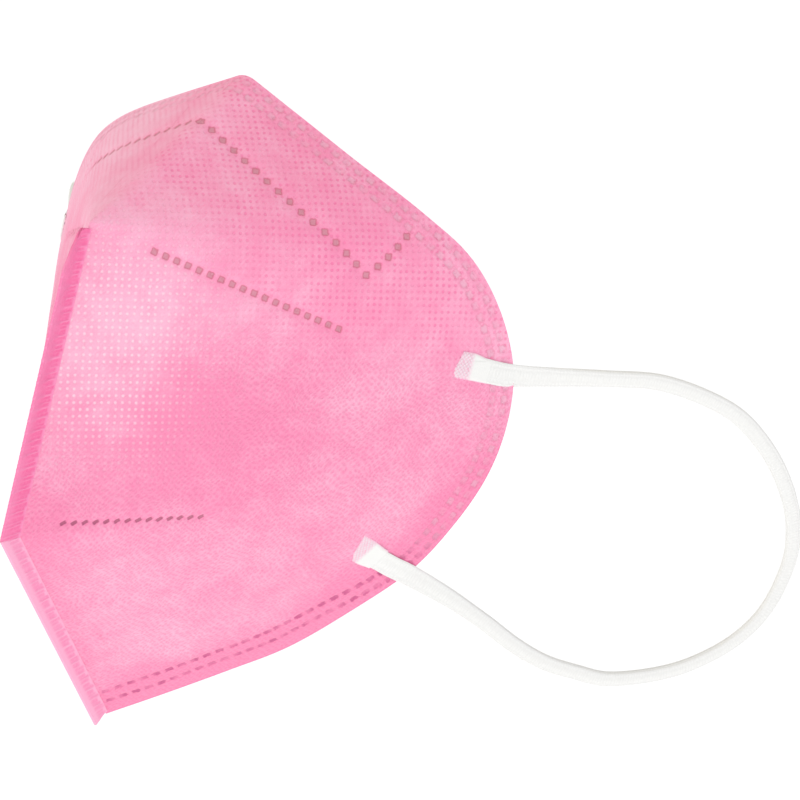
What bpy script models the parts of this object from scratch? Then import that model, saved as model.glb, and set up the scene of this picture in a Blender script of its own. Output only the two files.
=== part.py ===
"""Fold-flat respirator mask: six layered fabric panels, fused seams, nose clip and ear loops."""

import bmesh
import bpy
import numpy as np
from mathutils import Vector

for old in list(bpy.context.scene.objects):
    bpy.data.objects.remove(old, do_unlink=True)

# Lengths are in millimetres and angles in degrees. X is sideways, with the wearer's left at +X,
# Y runs from the front of the mask back to the face, and Z is up.
# The origin is the centre of the face opening.
MM = 0.001

# The fold line in the middle plane: nose bridge, nose corner, front corner, chin tip
BRIDGE_HEIGHT = 73.8
NOSE_CORNER_FORWARD = 42.4
NOSE_CORNER_HEIGHT = 40.3
FRONT_CORNER_FORWARD = 43.8
FRONT_CORNER_DROP = 25.4
CHIN_BACK = 3.0
CHIN_DROP = 73.9

# How far each panel of one half stands open from the middle plane
NOSE_OPENING = 61.8
CHEEK_OPENING = 41.4
CHIN_OPENING = 44.1
PANEL_BEND_SHARPNESS = 5.0

# The lines where the nose and chin panels bend against the cheek, from the two corners
UPPER_CREASE_RISE = 0.8
LOWER_CREASE_RISE = 1.0

# The free edge that lies on the face, as (back, up), between nose bridge and chin tip
RIM_POINTS = [
    (4.1, 67.7),
    (8.8, 61.2),
    (15.3, 54.6),
    (21.0, 49.2),
    (25.4, 42.8),
    (30.0, 33.5),
    (33.3, 24.0),
    (35.2, 12.3),
    (35.7, 0.6),
    (34.7, -12.1),
    (32.9, -24.8),
    (28.5, -37.1),
    (23.5, -49.4),
    (17.1, -57.7),
    (9.7, -66.5),
]
RIM_STEPS = 24

# Fabric stack, from the outside in
OUTER_THICKNESS = 0.35
FILTER_THICKNESS = 0.35
COTTON_THICKNESS = 0.6
LINING_THICKNESS = 0.35
LAYER_GAP = 0.3

# Running clearances
CREASE_GAP = 0.3
HINGE_GAP = 0.3
NOSE_FOLD_CLEARANCE = 2.8
CHIN_FOLD_CLEARANCE = 2.2
INNER_SETBACK = 2.2
CREASE_FLARE = 6.0
CORNER_CUT = 4.0

# Fused rim and nose pocket
FILTER_RIM_SETBACK = 2.0
HEM_WIDTH = 10.0
POCKET_WIDTH = 14.5
LINING_RIM_SETBACK = 0.8

# Fused seams
FRONT_FIN_WIDTH = 4.9
CHIN_FIN_WIDTH = 3.75
SEAM_FIN_THICKNESS = 1.2
SEAM_LEG_THICKNESS = 0.9
SEAM_TOP_CUT = 3.0
FIN_TOP_CUT = 1.3
SEAM_CORNER_CUT = 1.6
FIN_CORNER_GAP = 1.7
CHIN_TIP_CUT = 1.0

# Nose clip
CLIP_WIDTH = 5.0
CLIP_THICKNESS = 0.6
CLIP_RIM_DISTANCE = 7.5
CLIP_FOLD_DISTANCE = 5.0
CLIP_ARM_LENGTH = 41.0

# Ear loop weld tabs, as (back, up) of their middles on the cheek
TAB_LENGTH = 9.0
TAB_WIDTH = 6.0
TAB_THICKNESS = 0.9
UPPER_TAB = (24.0, 25.2)
UPPER_TAB_TURN = 0.0
LOWER_TAB = (20.6, -20.1)
LOWER_TAB_TURN = -18.0

# Ear loop, from the upper tab round to the lower one
LOOP_DIAMETER = 2.4
LOOP_END_DIAMETER = 1.0
LOOP_TAPER = 7.0
LOOP_ROUTE = [
    (60.4, 26.6, 25.2),
    (62.2, 28.9, 25.2),
    (64.0, 31.4, 25.2),
    (66.6, 35.8, 25.4),
    (70.4, 42.2, 25.9),
    (76.5, 51.3, 27.2),
    (84.5, 62.7, 28.5),
    (92.4, 74.6, 26.6),
    (99.0, 85.2, 22.7),
    (105.0, 95.9, 14.9),
    (109.2, 104.6, 5.7),
    (111.3, 110.1, -2.9),
    (111.7, 113.5, -12.6),
    (109.5, 113.9, -25.1),
    (105.2, 110.4, -34.3),
    (99.1, 103.8, -41.3),
    (92.8, 96.1, -45.5),
    (84.8, 85.2, -47.9),
    (79.1, 76.9, -46.7),
    (73.9, 68.8, -44.7),
    (68.8, 60.3, -40.8),
    (63.6, 51.1, -35.3),
    (59.2, 42.7, -30.6),
    (55.6, 35.6, -27.2),
    (52.9, 31.9, -25.5),
    (50.7, 27.9, -24.0),
    (49.5, 25.9, -23.1),
    (48.4, 23.6, -22.2),
]
LOOP_ROUTE_STEPS = 8
LOOP_SPLINE_POINTS = 48

# Mesh counts
FAN_ACROSS = 12
FAN_ALONG = 4
CHEEK_ACROSS = 10
CHEEK_ALONG = 10
CLIP_ALONG = 8
TAB_ALONG = 3
SMOOTH_ANGLE = 35.0

# Small distances for reading the surface: least rise, slope step, and how far along a bend
LEAST_RISE = 0.0001
SLOPE_STEP = 0.01
BEND_REACH = 10.0

SHADES = {
    "outer": (0.93, 0.42, 0.62, 0.85, 0.0),
    "filter": (0.88, 0.88, 0.86, 0.95, 0.0),
    "cotton": (0.90, 0.89, 0.86, 1.0, 0.0),
    "lining": (0.86, 0.85, 0.84, 0.9, 0.0),
    "seam": (0.88, 0.26, 0.48, 0.7, 0.0),
    "clip": (0.70, 0.71, 0.73, 0.35, 1.0),
    "tab": (0.88, 0.76, 0.80, 0.8, 0.0),
    "loop": (0.92, 0.91, 0.90, 0.85, 0.0),
}

bridge = np.array([0.0, BRIDGE_HEIGHT])
nose_corner = np.array([-NOSE_CORNER_FORWARD, NOSE_CORNER_HEIGHT])
front_corner = np.array([-FRONT_CORNER_FORWARD, -FRONT_CORNER_DROP])
chin_tip = np.array([CHIN_BACK, -CHIN_DROP])
nose_open = np.radians(NOSE_OPENING)
cheek_open = np.radians(CHEEK_OPENING)
chin_open = np.radians(CHIN_OPENING)

layer_depth = {"outer": 0.0}
layer_depth["filter"] = OUTER_THICKNESS + LAYER_GAP
layer_depth["cotton"] = layer_depth["filter"] + FILTER_THICKNESS + LAYER_GAP
layer_depth["lining"] = layer_depth["cotton"] + COTTON_THICKNESS + LAYER_GAP
layer_thickness = {
    "outer": OUTER_THICKNESS,
    "filter": FILTER_THICKNESS,
    "cotton": COTTON_THICKNESS,
    "lining": LINING_THICKNESS,
}
stack_depth = layer_depth["lining"] + LINING_THICKNESS


def unit(v):
    return v / np.linalg.norm(v)


def inward(start, end):
    """Unit normal of a fold line, towards the face."""
    along = unit(end - start)
    normal = np.array([-along[1], along[0]])
    return normal if normal[0] > 0 else -normal


nose_in = inward(bridge, nose_corner)
cheek_in = inward(nose_corner, front_corner)
chin_in = inward(front_corner, chin_tip)


def half_width(p):
    """Sideways distance of the outer surface at (back, up): three planes with rounded bends."""
    rises = [
        max((p - bridge) @ nose_in, LEAST_RISE) * np.tan(nose_open),
        max((p - nose_corner) @ cheek_in, LEAST_RISE) * np.tan(cheek_open),
        max((p - chin_tip) @ chin_in, LEAST_RISE) * np.tan(chin_open),
    ]
    total = sum(rise ** -PANEL_BEND_SHARPNESS for rise in rises)
    return total ** (-1.0 / PANEL_BEND_SHARPNESS)


def surface_normal(p):
    back_step = np.array([SLOPE_STEP, 0.0])
    up_step = np.array([0.0, SLOPE_STEP])
    across = (half_width(p + back_step) - half_width(p - back_step)) / (2 * SLOPE_STEP)
    up = (half_width(p + up_step) - half_width(p - up_step)) / (2 * SLOPE_STEP)
    return unit(np.array([1.0, -across, -up]))


def lift(p, depth):
    """Point of the left half at (back, up), a given depth under the outer surface."""
    return np.array([half_width(p), p[0], p[1]]) - depth * surface_normal(p)


def smooth_through(points, steps):
    """Even curve through points, with steps samples in each stretch."""
    pts = [np.array(q, float) for q in points]
    pts = [2 * pts[0] - pts[1]] + pts + [2 * pts[-1] - pts[-2]]
    out = []
    for a, b, c, d in zip(pts, pts[1:], pts[2:], pts[3:]):
        for t in np.arange(steps) / steps:
            bend = (2 * a - 5 * b + 4 * c - d) * t**2 + (3 * b - a - 3 * c + d) * t**3
            out.append(b + 0.5 * ((c - a) * t + bend))
    out.append(pts[-2])
    return np.array(out)


rim = smooth_through([bridge] + RIM_POINTS + [chin_tip], RIM_STEPS)


def crease(corner, rise):
    """Direction of a panel bend from its corner, as (back, up), and its sideways slope."""
    along = np.array([np.cos(np.radians(rise)), np.sin(np.radians(rise))])
    return along, half_width(corner + along * BEND_REACH) / BEND_REACH


upper_along, upper_slope = crease(nose_corner, UPPER_CREASE_RISE)
lower_along, lower_slope = crease(front_corner, LOWER_CREASE_RISE)
upper_hinge = nose_corner + upper_along * stack_depth / upper_slope
lower_hinge = front_corner + lower_along * stack_depth / lower_slope


def rim_place(origin, along, offset):
    """Rim sample where the line along a direction, moved sideways by offset, meets the rim."""
    side = np.array([-along[1], along[0]])
    away = (rim - origin) @ side - offset
    ahead = (rim - origin) @ along > 0
    cross = np.where((away[:-1] * away[1:] <= 0) & ahead[:-1])[0][0]
    return cross + away[cross] / (away[cross] - away[cross + 1])


def rim_point(place):
    return np.array([np.interp(place, np.arange(len(rim)), rim[:, k]) for k in (0, 1)])


def meet(a, along_a, b, along_b):
    """Where two lines cross."""
    k = np.linalg.solve(np.array([along_a, -along_b]).T, b - a)
    return a + along_a * k[0]


def fan_patch(corner, tip, normal, opening, along, side, gap, fold_near, fold_far):
    """Edges of a nose or chin panel: a short inner edge by its corner, and its stretch of rim."""
    fold_a = corner + normal * fold_near * np.cos(opening)
    fold_b = tip + normal * fold_far * np.cos(opening)
    fold_along = unit(fold_b - fold_a)
    crease_side = np.array([-along[1], along[0]]) * side
    apex = meet(fold_a, fold_along, corner + crease_side * gap, along)
    inner = np.linspace(apex + fold_along * CORNER_CUT, apex + along * CORNER_CUT, FAN_ACROSS + 1)
    turn = np.array([-fold_along[1], fold_along[0]])
    start = rim_place(fold_a, fold_along, (apex - fold_a) @ turn)
    end = rim_place(corner, along, gap * side)
    outer = np.array([rim_point(q) for q in np.linspace(start, end, FAN_ACROSS + 1)])
    return inner, outer


def cheek_patch(gap, setback):
    """Edges of the cheek panel: beside the front seam, and its stretch of rim."""
    fold_a = upper_hinge + cheek_in * setback * np.cos(cheek_open)
    fold_b = lower_hinge + cheek_in * setback * np.cos(cheek_open)
    fold_along = unit(fold_b - fold_a)
    upper_side = np.array([-upper_along[1], upper_along[0]])
    lower_side = np.array([-lower_along[1], lower_along[0]])
    top = meet(fold_a, fold_along, nose_corner - upper_side * gap, upper_along)
    bottom = meet(fold_a, fold_along, front_corner + lower_side * gap, lower_along)
    inner = np.linspace(top, bottom, CHEEK_ALONG + 1)
    start = rim_place(nose_corner, upper_along, -gap)
    end = rim_place(front_corner, lower_along, gap)
    outer = np.array([rim_point(q) for q in np.linspace(start, end, CHEEK_ALONG + 1)])
    return inner, outer


def ruled_rows(inner, outer, along, rim_setback):
    """Rows of (back, up) points from the inner edge to the rim."""
    rows = []
    for a, b in zip(inner, outer):
        reach = np.linalg.norm(lift(b, 0.0) - lift(a, 0.0))
        share = 1.0 - rim_setback / reach
        rows.append([a + (b - a) * share * t for t in np.linspace(0.0, 1.0, along + 1)])
    return rows


def material(shade):
    mat = bpy.data.materials.get(shade)
    if mat:
        return mat
    red, green, blue, roughness, metallic = SHADES[shade]
    mat = bpy.data.materials.new(shade)
    mat.use_nodes = True
    bsdf = mat.node_tree.nodes["Principled BSDF"]
    bsdf.inputs["Base Color"].default_value = (red, green, blue, 1.0)
    bsdf.inputs["Roughness"].default_value = roughness
    bsdf.inputs["Metallic"].default_value = metallic
    return mat


mask = bpy.data.collections.new("respirator_mask")
bpy.context.scene.collection.children.link(mask)


def place(name, bm, shade, origin):
    """Finish a mesh in millimetres as a named object with its origin at a given point."""
    bmesh.ops.translate(bm, verts=bm.verts, vec=Vector(-np.array(origin, float)))
    bmesh.ops.scale(bm, verts=bm.verts, vec=(MM, MM, MM))
    mesh = bpy.data.meshes.new(name)
    bm.to_mesh(mesh)
    bm.free()
    mesh.materials.append(material(shade))
    mesh.shade_smooth()
    mesh.set_sharp_from_angle(angle=np.radians(SMOOTH_ANGLE))
    ob = bpy.data.objects.new(name, mesh)
    ob.location = Vector(np.array(origin, float) * MM)
    mask.objects.link(ob)
    return ob


def sheet(name, rows, depth, thickness, side, shade, origin):
    """A fabric layer: a grid laid on the outer surface at a depth, thickened inwards."""
    bm = bmesh.new()
    across = len(rows) - 1
    along = len(rows[0]) - 1
    bmesh.ops.create_grid(bm, x_segments=across, y_segments=along, size=0.5)
    for v in bm.verts:
        row = round((v.co.x + 0.5) * across)
        col = round((v.co.y + 0.5) * along)
        v.co = Vector(lift(rows[row][col], depth))
        v.co.x *= side
    bm.normal_update()
    if sum(f.normal.x for f in bm.faces) * side < 0:
        bmesh.ops.reverse_faces(bm, faces=bm.faces)
    ob = place(name, bm, shade, origin)
    wall = ob.modifiers.new("wall", "SOLIDIFY")
    wall.thickness = thickness * MM
    wall.offset = -1.0
    return ob


def on_side(point, side):
    return np.array([point[0] * side, point[1], point[2]])


def hinge_point(corner_hinge):
    return np.array([stack_depth, corner_hinge[0], corner_hinge[1]])


def layer_edges(layer):
    """Set-back of a layer at folds, creases and rim: deeper layers keep further from the folds."""
    depth = layer_depth[layer]
    fold = HINGE_GAP if layer == "outer" else INNER_SETBACK
    gap = CREASE_GAP / 2 + depth * np.tan(np.radians(CREASE_FLARE))
    rim_back = {
        "outer": 0.0,
        "filter": FILTER_RIM_SETBACK,
        "cotton": HEM_WIDTH,
        "lining": LINING_RIM_SETBACK,
    }[layer]
    return fold, gap, rim_back


def nose_rows(layer):
    fold, gap, rim_back = layer_edges(layer)
    if layer == "cotton":
        rim_back = POCKET_WIDTH
    near = stack_depth / np.sin(nose_open) + fold
    far = near + NOSE_FOLD_CLEARANCE
    edges = fan_patch(nose_corner, bridge, nose_in, nose_open, upper_along, 1, gap, near, far)
    return ruled_rows(*edges, FAN_ALONG, rim_back)


def cheek_rows(layer):
    fold, gap, rim_back = layer_edges(layer)
    inner, outer = cheek_patch(gap, fold)
    return ruled_rows(inner, outer, CHEEK_ACROSS, rim_back)


def chin_rows(layer):
    fold, gap, rim_back = layer_edges(layer)
    near = stack_depth / np.sin(chin_open) + fold
    far = near + CHIN_FOLD_CLEARANCE
    edges = fan_patch(front_corner, chin_tip, chin_in, chin_open, lower_along, -1, gap, near, far)
    return ruled_rows(*edges, FAN_ALONG, rim_back)


def panel_layers(side, word):
    """The three panels of one half, four layers each."""
    panels = (
        ("nose", nose_rows, upper_hinge),
        ("cheek", cheek_rows, upper_hinge),
        ("chin", chin_rows, lower_hinge),
    )
    for panel, rows_of, hinge in panels:
        origin = on_side(hinge_point(hinge), side)
        for layer, depth in layer_depth.items():
            name = f"{word}_{panel}_{layer}"
            sheet(name, rows_of(layer), depth, layer_thickness[layer], side, layer, origin)


def nose_clip(side, word):
    """One arm of the bendable strip, in the pocket between filter and lining."""
    fold, gap, _ = layer_edges("outer")
    near = stack_depth / np.sin(nose_open) + fold
    far = near + NOSE_FOLD_CLEARANCE
    inner, outer = fan_patch(
        nose_corner, bridge, nose_in, nose_open, upper_along, 1, gap, near, far
    )
    edge = np.array([lift(q, 0.0) for q in outer])
    run = np.concatenate([[0.0], np.cumsum(np.linalg.norm(np.diff(edge, axis=0), axis=1))])
    rows = []
    for t in CLIP_FOLD_DISTANCE + np.linspace(0.0, CLIP_ARM_LENGTH, CLIP_ALONG + 1):
        a = np.array([np.interp(t, run, inner[:, k]) for k in (0, 1)])
        b = np.array([np.interp(t, run, outer[:, k]) for k in (0, 1)])
        reach = np.linalg.norm(lift(b, 0.0) - lift(a, 0.0))
        near_rim = 1.0 - CLIP_RIM_DISTANCE / reach
        far_rim = near_rim - CLIP_WIDTH / reach
        rows.append([a + (b - a) * far_rim, a + (b - a) * near_rim])
    depth = layer_depth["cotton"] + (COTTON_THICKNESS - CLIP_THICKNESS) / 2
    origin = on_side(hinge_point(upper_hinge), side)
    sheet(f"{word}_nose_clip", rows, depth, CLIP_THICKNESS, side, "clip", origin)


def weld_tab(side, name, middle, turn):
    """A pad of fused elastic on the outside of the cheek."""
    centre = np.array(middle)
    lean = np.cos(cheek_open)
    along = np.array([np.cos(np.radians(turn)) * lean, np.sin(np.radians(turn))])
    across = np.array([-np.sin(np.radians(turn)) * lean, np.cos(np.radians(turn))])
    rows = []
    for s in np.linspace(-0.5, 0.5, TAB_ALONG + 1):
        base = centre + along * TAB_LENGTH * s
        rows.append([base + across * TAB_WIDTH * t for t in (-0.5, 0.0, 0.5)])
    top = -(LAYER_GAP + TAB_THICKNESS)
    origin = on_side(hinge_point(upper_hinge), side)
    sheet(name, rows, top, TAB_THICKNESS, side, "tab", origin)


def loop_hinge():
    """Middle of the line through the two loop ends, about which the loop swings."""
    return (np.array(LOOP_ROUTE[0]) + np.array(LOOP_ROUTE[-1])) / 2


def ear_loop(side, name):
    """A tube along the loop's route, slimmer where it goes into its tabs."""
    route = smooth_through(LOOP_ROUTE, LOOP_ROUTE_STEPS)
    run = np.concatenate([[0.0], np.cumsum(np.linalg.norm(np.diff(route, axis=0), axis=1))])
    even = np.linspace(0.0, run[-1], LOOP_SPLINE_POINTS)
    points = np.array([np.interp(even, run, route[:, k]) for k in range(3)]).T
    origin = on_side(loop_hinge(), side)
    curve = bpy.data.curves.new(name, "CURVE")
    curve.dimensions = "3D"
    curve.bevel_depth = LOOP_DIAMETER / 2 * MM
    curve.bevel_resolution = 2
    curve.use_fill_caps = True
    spline = curve.splines.new("POLY")
    spline.points.add(len(points) - 1)
    end_share = LOOP_END_DIAMETER / LOOP_DIAMETER
    for knot, p, done in zip(spline.points, points, even):
        knot.co = (*((on_side(p, side) - origin) * MM), 1.0)
        from_end = min(done, run[-1] - done, LOOP_TAPER)
        knot.radius = end_share + (1.0 - end_share) * from_end / LOOP_TAPER
    curve.materials.append(material("loop"))
    ob = bpy.data.objects.new(name, curve)
    ob.location = Vector(origin * MM)
    mask.objects.link(ob)


def seam(name, start, end, opening, cuts, tips, leg, fin, origin):
    """A fused seam: two short legs on the panels, and a fin that stands out along the fold.

    cuts shorten the legs at the two ends, and tips the outer edge of the fin.
    """
    along = unit(end - start)
    back = inward(start, end)
    sine, cosine = np.sin(opening), np.cos(opening)
    thick = SEAM_LEG_THICKNESS
    half = [
        (leg * sine, leg * cosine),
        (leg * sine - thick * cosine, leg * cosine + thick * sine),
        (0.0, thick / sine),
    ]
    if fin > 0:
        root = SEAM_FIN_THICKNESS / 2
        half = [(root, -fin), (root, root * cosine / sine)] + half
    else:
        half = [(0.0, 0.0)] + half
    mirrored = [(-x, d) for x, d in reversed(half) if x > 0]
    first = start + along * cuts[0]
    bm = bmesh.new()
    ring = []
    for x, d in half + mirrored:
        p = first + back * d
        ring.append(bm.verts.new((x, p[0], p[1])))
    face = bm.faces.new(ring)
    length = np.linalg.norm(end - start) - cuts[0] - cuts[1]
    grown = bmesh.ops.extrude_face_region(bm, geom=[face])
    moved = [g for g in grown["geom"] if isinstance(g, bmesh.types.BMVert)]
    bmesh.ops.translate(bm, verts=moved, vec=Vector((0.0, *(along * length))))
    for verts, way, cut, tip in ((ring, 1, cuts[0], tips[0]), (moved, -1, cuts[1], tips[1])):
        outer = [v for v in verts if (np.array(v.co.yz) - start) @ back < -fin / 2]
        bmesh.ops.translate(bm, verts=outer, vec=Vector((0.0, *(along * way * (tip - cut)))))
    bmesh.ops.recalc_face_normals(bm, faces=bm.faces)
    place(name, bm, "seam", origin)


def middle_point(hinge):
    return np.array([0.0, hinge[0], hinge[1]])


def fin_corner():
    """Where the outer edges of the two fins would meet, below the front corner."""
    front_along = unit(front_corner - nose_corner)
    chin_along = unit(chin_tip - front_corner)
    front_edge = nose_corner - cheek_in * FRONT_FIN_WIDTH
    chin_edge = chin_tip - chin_in * CHIN_FIN_WIDTH
    corner = meet(front_edge, front_along, chin_edge, chin_along)
    return (corner - front_corner) @ front_along, (front_corner - corner) @ chin_along


def seams():
    """The front seam carries the halves; the nose fold and chin seam bend against it."""
    cheek_leg = stack_depth / np.sin(cheek_open) - HINGE_GAP
    nose_leg = stack_depth / np.sin(nose_open) - HINGE_GAP
    chin_leg = stack_depth / np.sin(chin_open) - HINGE_GAP
    past_front, past_chin = fin_corner()
    half_gap = FIN_CORNER_GAP / 2
    seam(
        "front_seam", nose_corner, front_corner, cheek_open,
        (SEAM_TOP_CUT, SEAM_CORNER_CUT), (FIN_TOP_CUT, half_gap - past_front),
        cheek_leg, FRONT_FIN_WIDTH, (0.0, 0.0, 0.0),
    )
    seam(
        "nose_fold", nose_corner, bridge, nose_open,
        (SEAM_CORNER_CUT, 0.0), (SEAM_CORNER_CUT, 0.0),
        nose_leg, 0.0, middle_point(upper_hinge),
    )
    seam(
        "chin_seam", front_corner, chin_tip, chin_open,
        (SEAM_CORNER_CUT, CHIN_TIP_CUT), (half_gap - past_chin, CHIN_TIP_CUT),
        chin_leg, CHIN_FIN_WIDTH, middle_point(lower_hinge),
    )


seams()
for side_sign, side_word in ((1, "left"), (-1, "right")):
    panel_layers(side_sign, side_word)
    nose_clip(side_sign, side_word)
    weld_tab(side_sign, f"{side_word}_upper_loop_tab", UPPER_TAB, UPPER_TAB_TURN)
    weld_tab(side_sign, f"{side_word}_lower_loop_tab", LOWER_TAB, LOWER_TAB_TURN)
    ear_loop(side_sign, f"{side_word}_ear_loop")
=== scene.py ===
"""Fold-flat respirator mask: fabric halves, fused seams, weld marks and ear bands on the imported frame."""

import math

import bmesh
import bpy
import numpy as np
from bpy.props import FloatProperty, FloatVectorProperty, PointerProperty
from bpy.types import Operator, Panel, PropertyGroup
from mathutils import Matrix, Vector


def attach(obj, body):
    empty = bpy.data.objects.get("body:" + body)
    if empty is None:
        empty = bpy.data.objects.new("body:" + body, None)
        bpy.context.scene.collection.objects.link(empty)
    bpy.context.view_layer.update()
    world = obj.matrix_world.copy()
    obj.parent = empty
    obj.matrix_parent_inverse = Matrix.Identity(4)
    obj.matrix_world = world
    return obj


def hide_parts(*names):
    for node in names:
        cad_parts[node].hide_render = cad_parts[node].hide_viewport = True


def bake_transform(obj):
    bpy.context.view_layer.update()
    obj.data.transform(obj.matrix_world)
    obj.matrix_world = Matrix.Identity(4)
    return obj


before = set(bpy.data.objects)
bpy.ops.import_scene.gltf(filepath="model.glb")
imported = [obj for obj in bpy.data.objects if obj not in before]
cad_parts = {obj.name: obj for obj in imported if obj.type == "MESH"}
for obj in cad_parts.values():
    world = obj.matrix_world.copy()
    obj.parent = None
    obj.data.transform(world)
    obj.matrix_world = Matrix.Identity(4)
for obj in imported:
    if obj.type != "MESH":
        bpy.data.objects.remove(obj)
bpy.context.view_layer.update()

bl_info = {
    "name": "Fold-flat respirator mask",
    "version": (1, 0, 0),
    "blender": (4, 5, 0),
    "location": "View3D > Sidebar > Mask",
    "description": "Dresses a fold-flat respirator mask: fabric, welds, seams, ear bands and studio",
    "category": "Object",
}

MM = 0.001

# One half of the mask, as (back, up) in the middle plane: fold corners, panel openings and free edge
BRIDGE = np.array((0.0, 73.8)) * MM
NOSE_CORNER = np.array((-42.4, 40.3)) * MM
FRONT_CORNER = np.array((-43.8, -25.4)) * MM
CHIN_TIP = np.array((3.0, -73.9)) * MM
NOSE_OPENING, CHEEK_OPENING, CHIN_OPENING = np.radians((61.8, 41.4, 44.1))
BEND_SHARPNESS = 5.0
UPPER_CREASE_RISE = math.radians(0.8)
LOWER_CREASE_RISE = math.radians(1.0)
RIM_POINTS = np.array((
    (4.1, 67.7), (8.8, 61.2), (15.3, 54.6), (21.0, 49.2), (25.4, 42.8), (30.0, 33.5), (33.3, 24.0),
    (35.2, 12.3), (35.7, 0.6), (34.7, -12.1), (32.9, -24.8), (28.5, -37.1), (23.5, -49.4),
    (17.1, -57.7), (9.7, -66.5),
)) * MM
RIM_STEPS = 24
SPLIT_HEIGHT_FRONT = 7.0 * MM
SPLIT_HEIGHT_RIM = 10.0 * MM

# Fabric stack, as depth under the outer surface
OUTER_THICKNESS = 0.35 * MM
FILTER_DEPTH, FILTER_THICKNESS = 1.0 * MM, 0.25 * MM
COTTON_DEPTH, COTTON_THICKNESS = 1.3 * MM, 0.6 * MM
LINING_DEPTH, LINING_THICKNESS = 2.2 * MM, 0.35 * MM
EDGE_LINING_DEPTH, FUSED_LINING_DEPTH = 0.38 * MM, 0.8 * MM

# Weld lines, as (back, up) of their ends
UPPER_SPACER = np.array(((-31.9, 36.9), (-0.2, 28.2))) * MM
UPPER_SPACER_MARKS = 18
LOWER_SPACER = np.array(((-37.0, -21.4), (-14.0, -16.6))) * MM
LOWER_SPACER_MARKS = 14
POCKET_LINE = np.array((
    (-13.2, 63.1), (-11.2, 58.5), (-9.2, 54.2), (-6.3, 50.0), (-3.4, 47.1), (3.2, 40.3),
)) * MM
POCKET_RETURN = np.array(((5.2, 42.5), (10.9, 49.6))) * MM

# Ear band: middle of the left one, from its upper tab round to its lower one
BAND_ROUTE = np.array((
    (60.4, 26.6, 24.9), (62.2, 28.9, 24.7), (64.0, 31.4, 24.6), (66.6, 35.8, 24.9),
    (70.4, 42.2, 25.7), (76.5, 51.3, 27.2), (84.5, 62.7, 28.5), (92.4, 74.6, 26.6),
    (99.0, 85.2, 22.7), (105.0, 95.9, 14.9), (109.2, 104.6, 5.7), (111.3, 110.1, -2.9),
    (111.7, 113.5, -12.6), (109.5, 113.9, -25.1), (105.2, 110.4, -34.3), (99.1, 103.8, -41.3),
    (92.8, 96.1, -45.5), (84.8, 85.2, -47.9), (79.1, 76.9, -46.7), (73.9, 68.8, -44.7),
    (68.8, 60.3, -40.8), (63.6, 51.1, -35.3), (59.2, 42.7, -30.6), (55.6, 35.6, -27.2),
    (52.9, 31.9, -25.5), (50.7, 27.9, -24.0), (49.5, 25.9, -23.1), (48.4, 23.6, -22.2),
)) * MM
UPPER_TAB, UPPER_TAB_TURN = np.array((24.0, 25.2)) * MM, 0.0
LOWER_TAB, LOWER_TAB_TURN = np.array((20.6, -20.1)) * MM, math.radians(-18.0)

# The photograph's camera
CAMERA_PLACE = (0.23388, -0.35987, 0.09663)
CAMERA_RIGHT = (0.84643, 0.47489, 0.24092)
CAMERA_UP = (-0.30231, 0.05609, 0.95156)
CAMERA_AHEAD = (-0.43837, 0.87826, -0.19104)

SIDES = (("left", 1.0), ("right", -1.0))

# Seam strips and layer edges: half width at the front hinges, and distance behind the folds at the rim
HINGE_WIDTH = 2.55 * MM
NOSE_EDGE, CHIN_EDGE = 5.5 * MM, 6.0 * MM
LINING_SETBACK, FILLING_SETBACK = 0.2 * MM, 3.2 * MM
FILTER_RIM_GAP, COTTON_RIM_GAP, LINING_RIM_GAP = 10.5 * MM, 14.5 * MM, 0.3 * MM
LINING_PRESS, LINING_FOLD, NOSE_LINING_FOLD = np.array(((0.0, 0.9), (0.2, 2.4), (0.0, 0.6))) * MM
LINING_CLEAR, LINING_SPOTS = 0.03 * MM, (1.0, 3.0)
NOSE_LINING_RISE, CHIN_LINING_RISE = np.array((5.0, 6.4)) * MM, np.array((9.4, 12.0)) * MM
LINING_CHANGE = (35.0 * MM, -15.0 * MM)
LINING_PITCH, FILLING_PITCH, HEM_PITCH = 0.9 * MM, 2.0 * MM, 0.42 * MM
STRIP_PITCH = 0.45 * MM
RIDGE_START = 14.0 * MM
RIDGE_CROWDING = 1.2
HEM = 9.6 * MM
CREASE_MIDDLE = 50.0 * MM
CREASE_REACH = 6.0 * MM
EDGE_FADE = 6.0 * MM

# Weld marks and tone of the fabric
FINE_STEPS = 40
DASH_LENGTH, DASH_WIDTH, DASH_TILT = 0.98, 0.56, math.radians(30.0)
CHIN_DASH_WIDTH, CHIN_CHANGE = 0.75, 32.0 * MM
POCKET_TILT = math.radians(40.0)
DARK_MARKS = (-8.0 * MM, -24.0 * MM)
MARK_CORNER = 0.45
DENT_EDGE, DIMPLE_REACH = (-0.25, 0.2), 1.6
FAR_FROM_MARK = 6.0
DOT_ROW_TILT = math.radians(10.0)
WEAVE_TILT, FIBRE_TILT = math.radians(60.0), math.radians(55.0)
WEAVE_BEND = 0.05
EMBOSS_HEIGHT = (16.0 * MM, 36.0 * MM)

# Tone, from 0 for light to 1 for deep pink, with soft patches (back, up, radius, change): on the left
# half a light front that is painted light, a deep band across the cheek that is painted shade of a soft fold, a deep
# nose that is painted shade where it faces up, a deep front corner and a lighter chin
LEFT_TONE, RIGHT_PAINTED_LIGHT_TONE = 0.57, 0.2
RIGHT_PAINTED_LIGHT_START = (6.0 * MM, 22.0 * MM)
LEFT_TONE_AND_SHADE_PATCHES = (
    (-34.0, 22.0, 16.0, -0.35), (-19.0, 5.0, 14.0, 0.5), (-2.0, 46.0, 13.0, 0.25),
    (-10.0, -44.0, 14.0, -0.05), (-38.0, -22.0, 9.0, 0.35),
)
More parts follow.
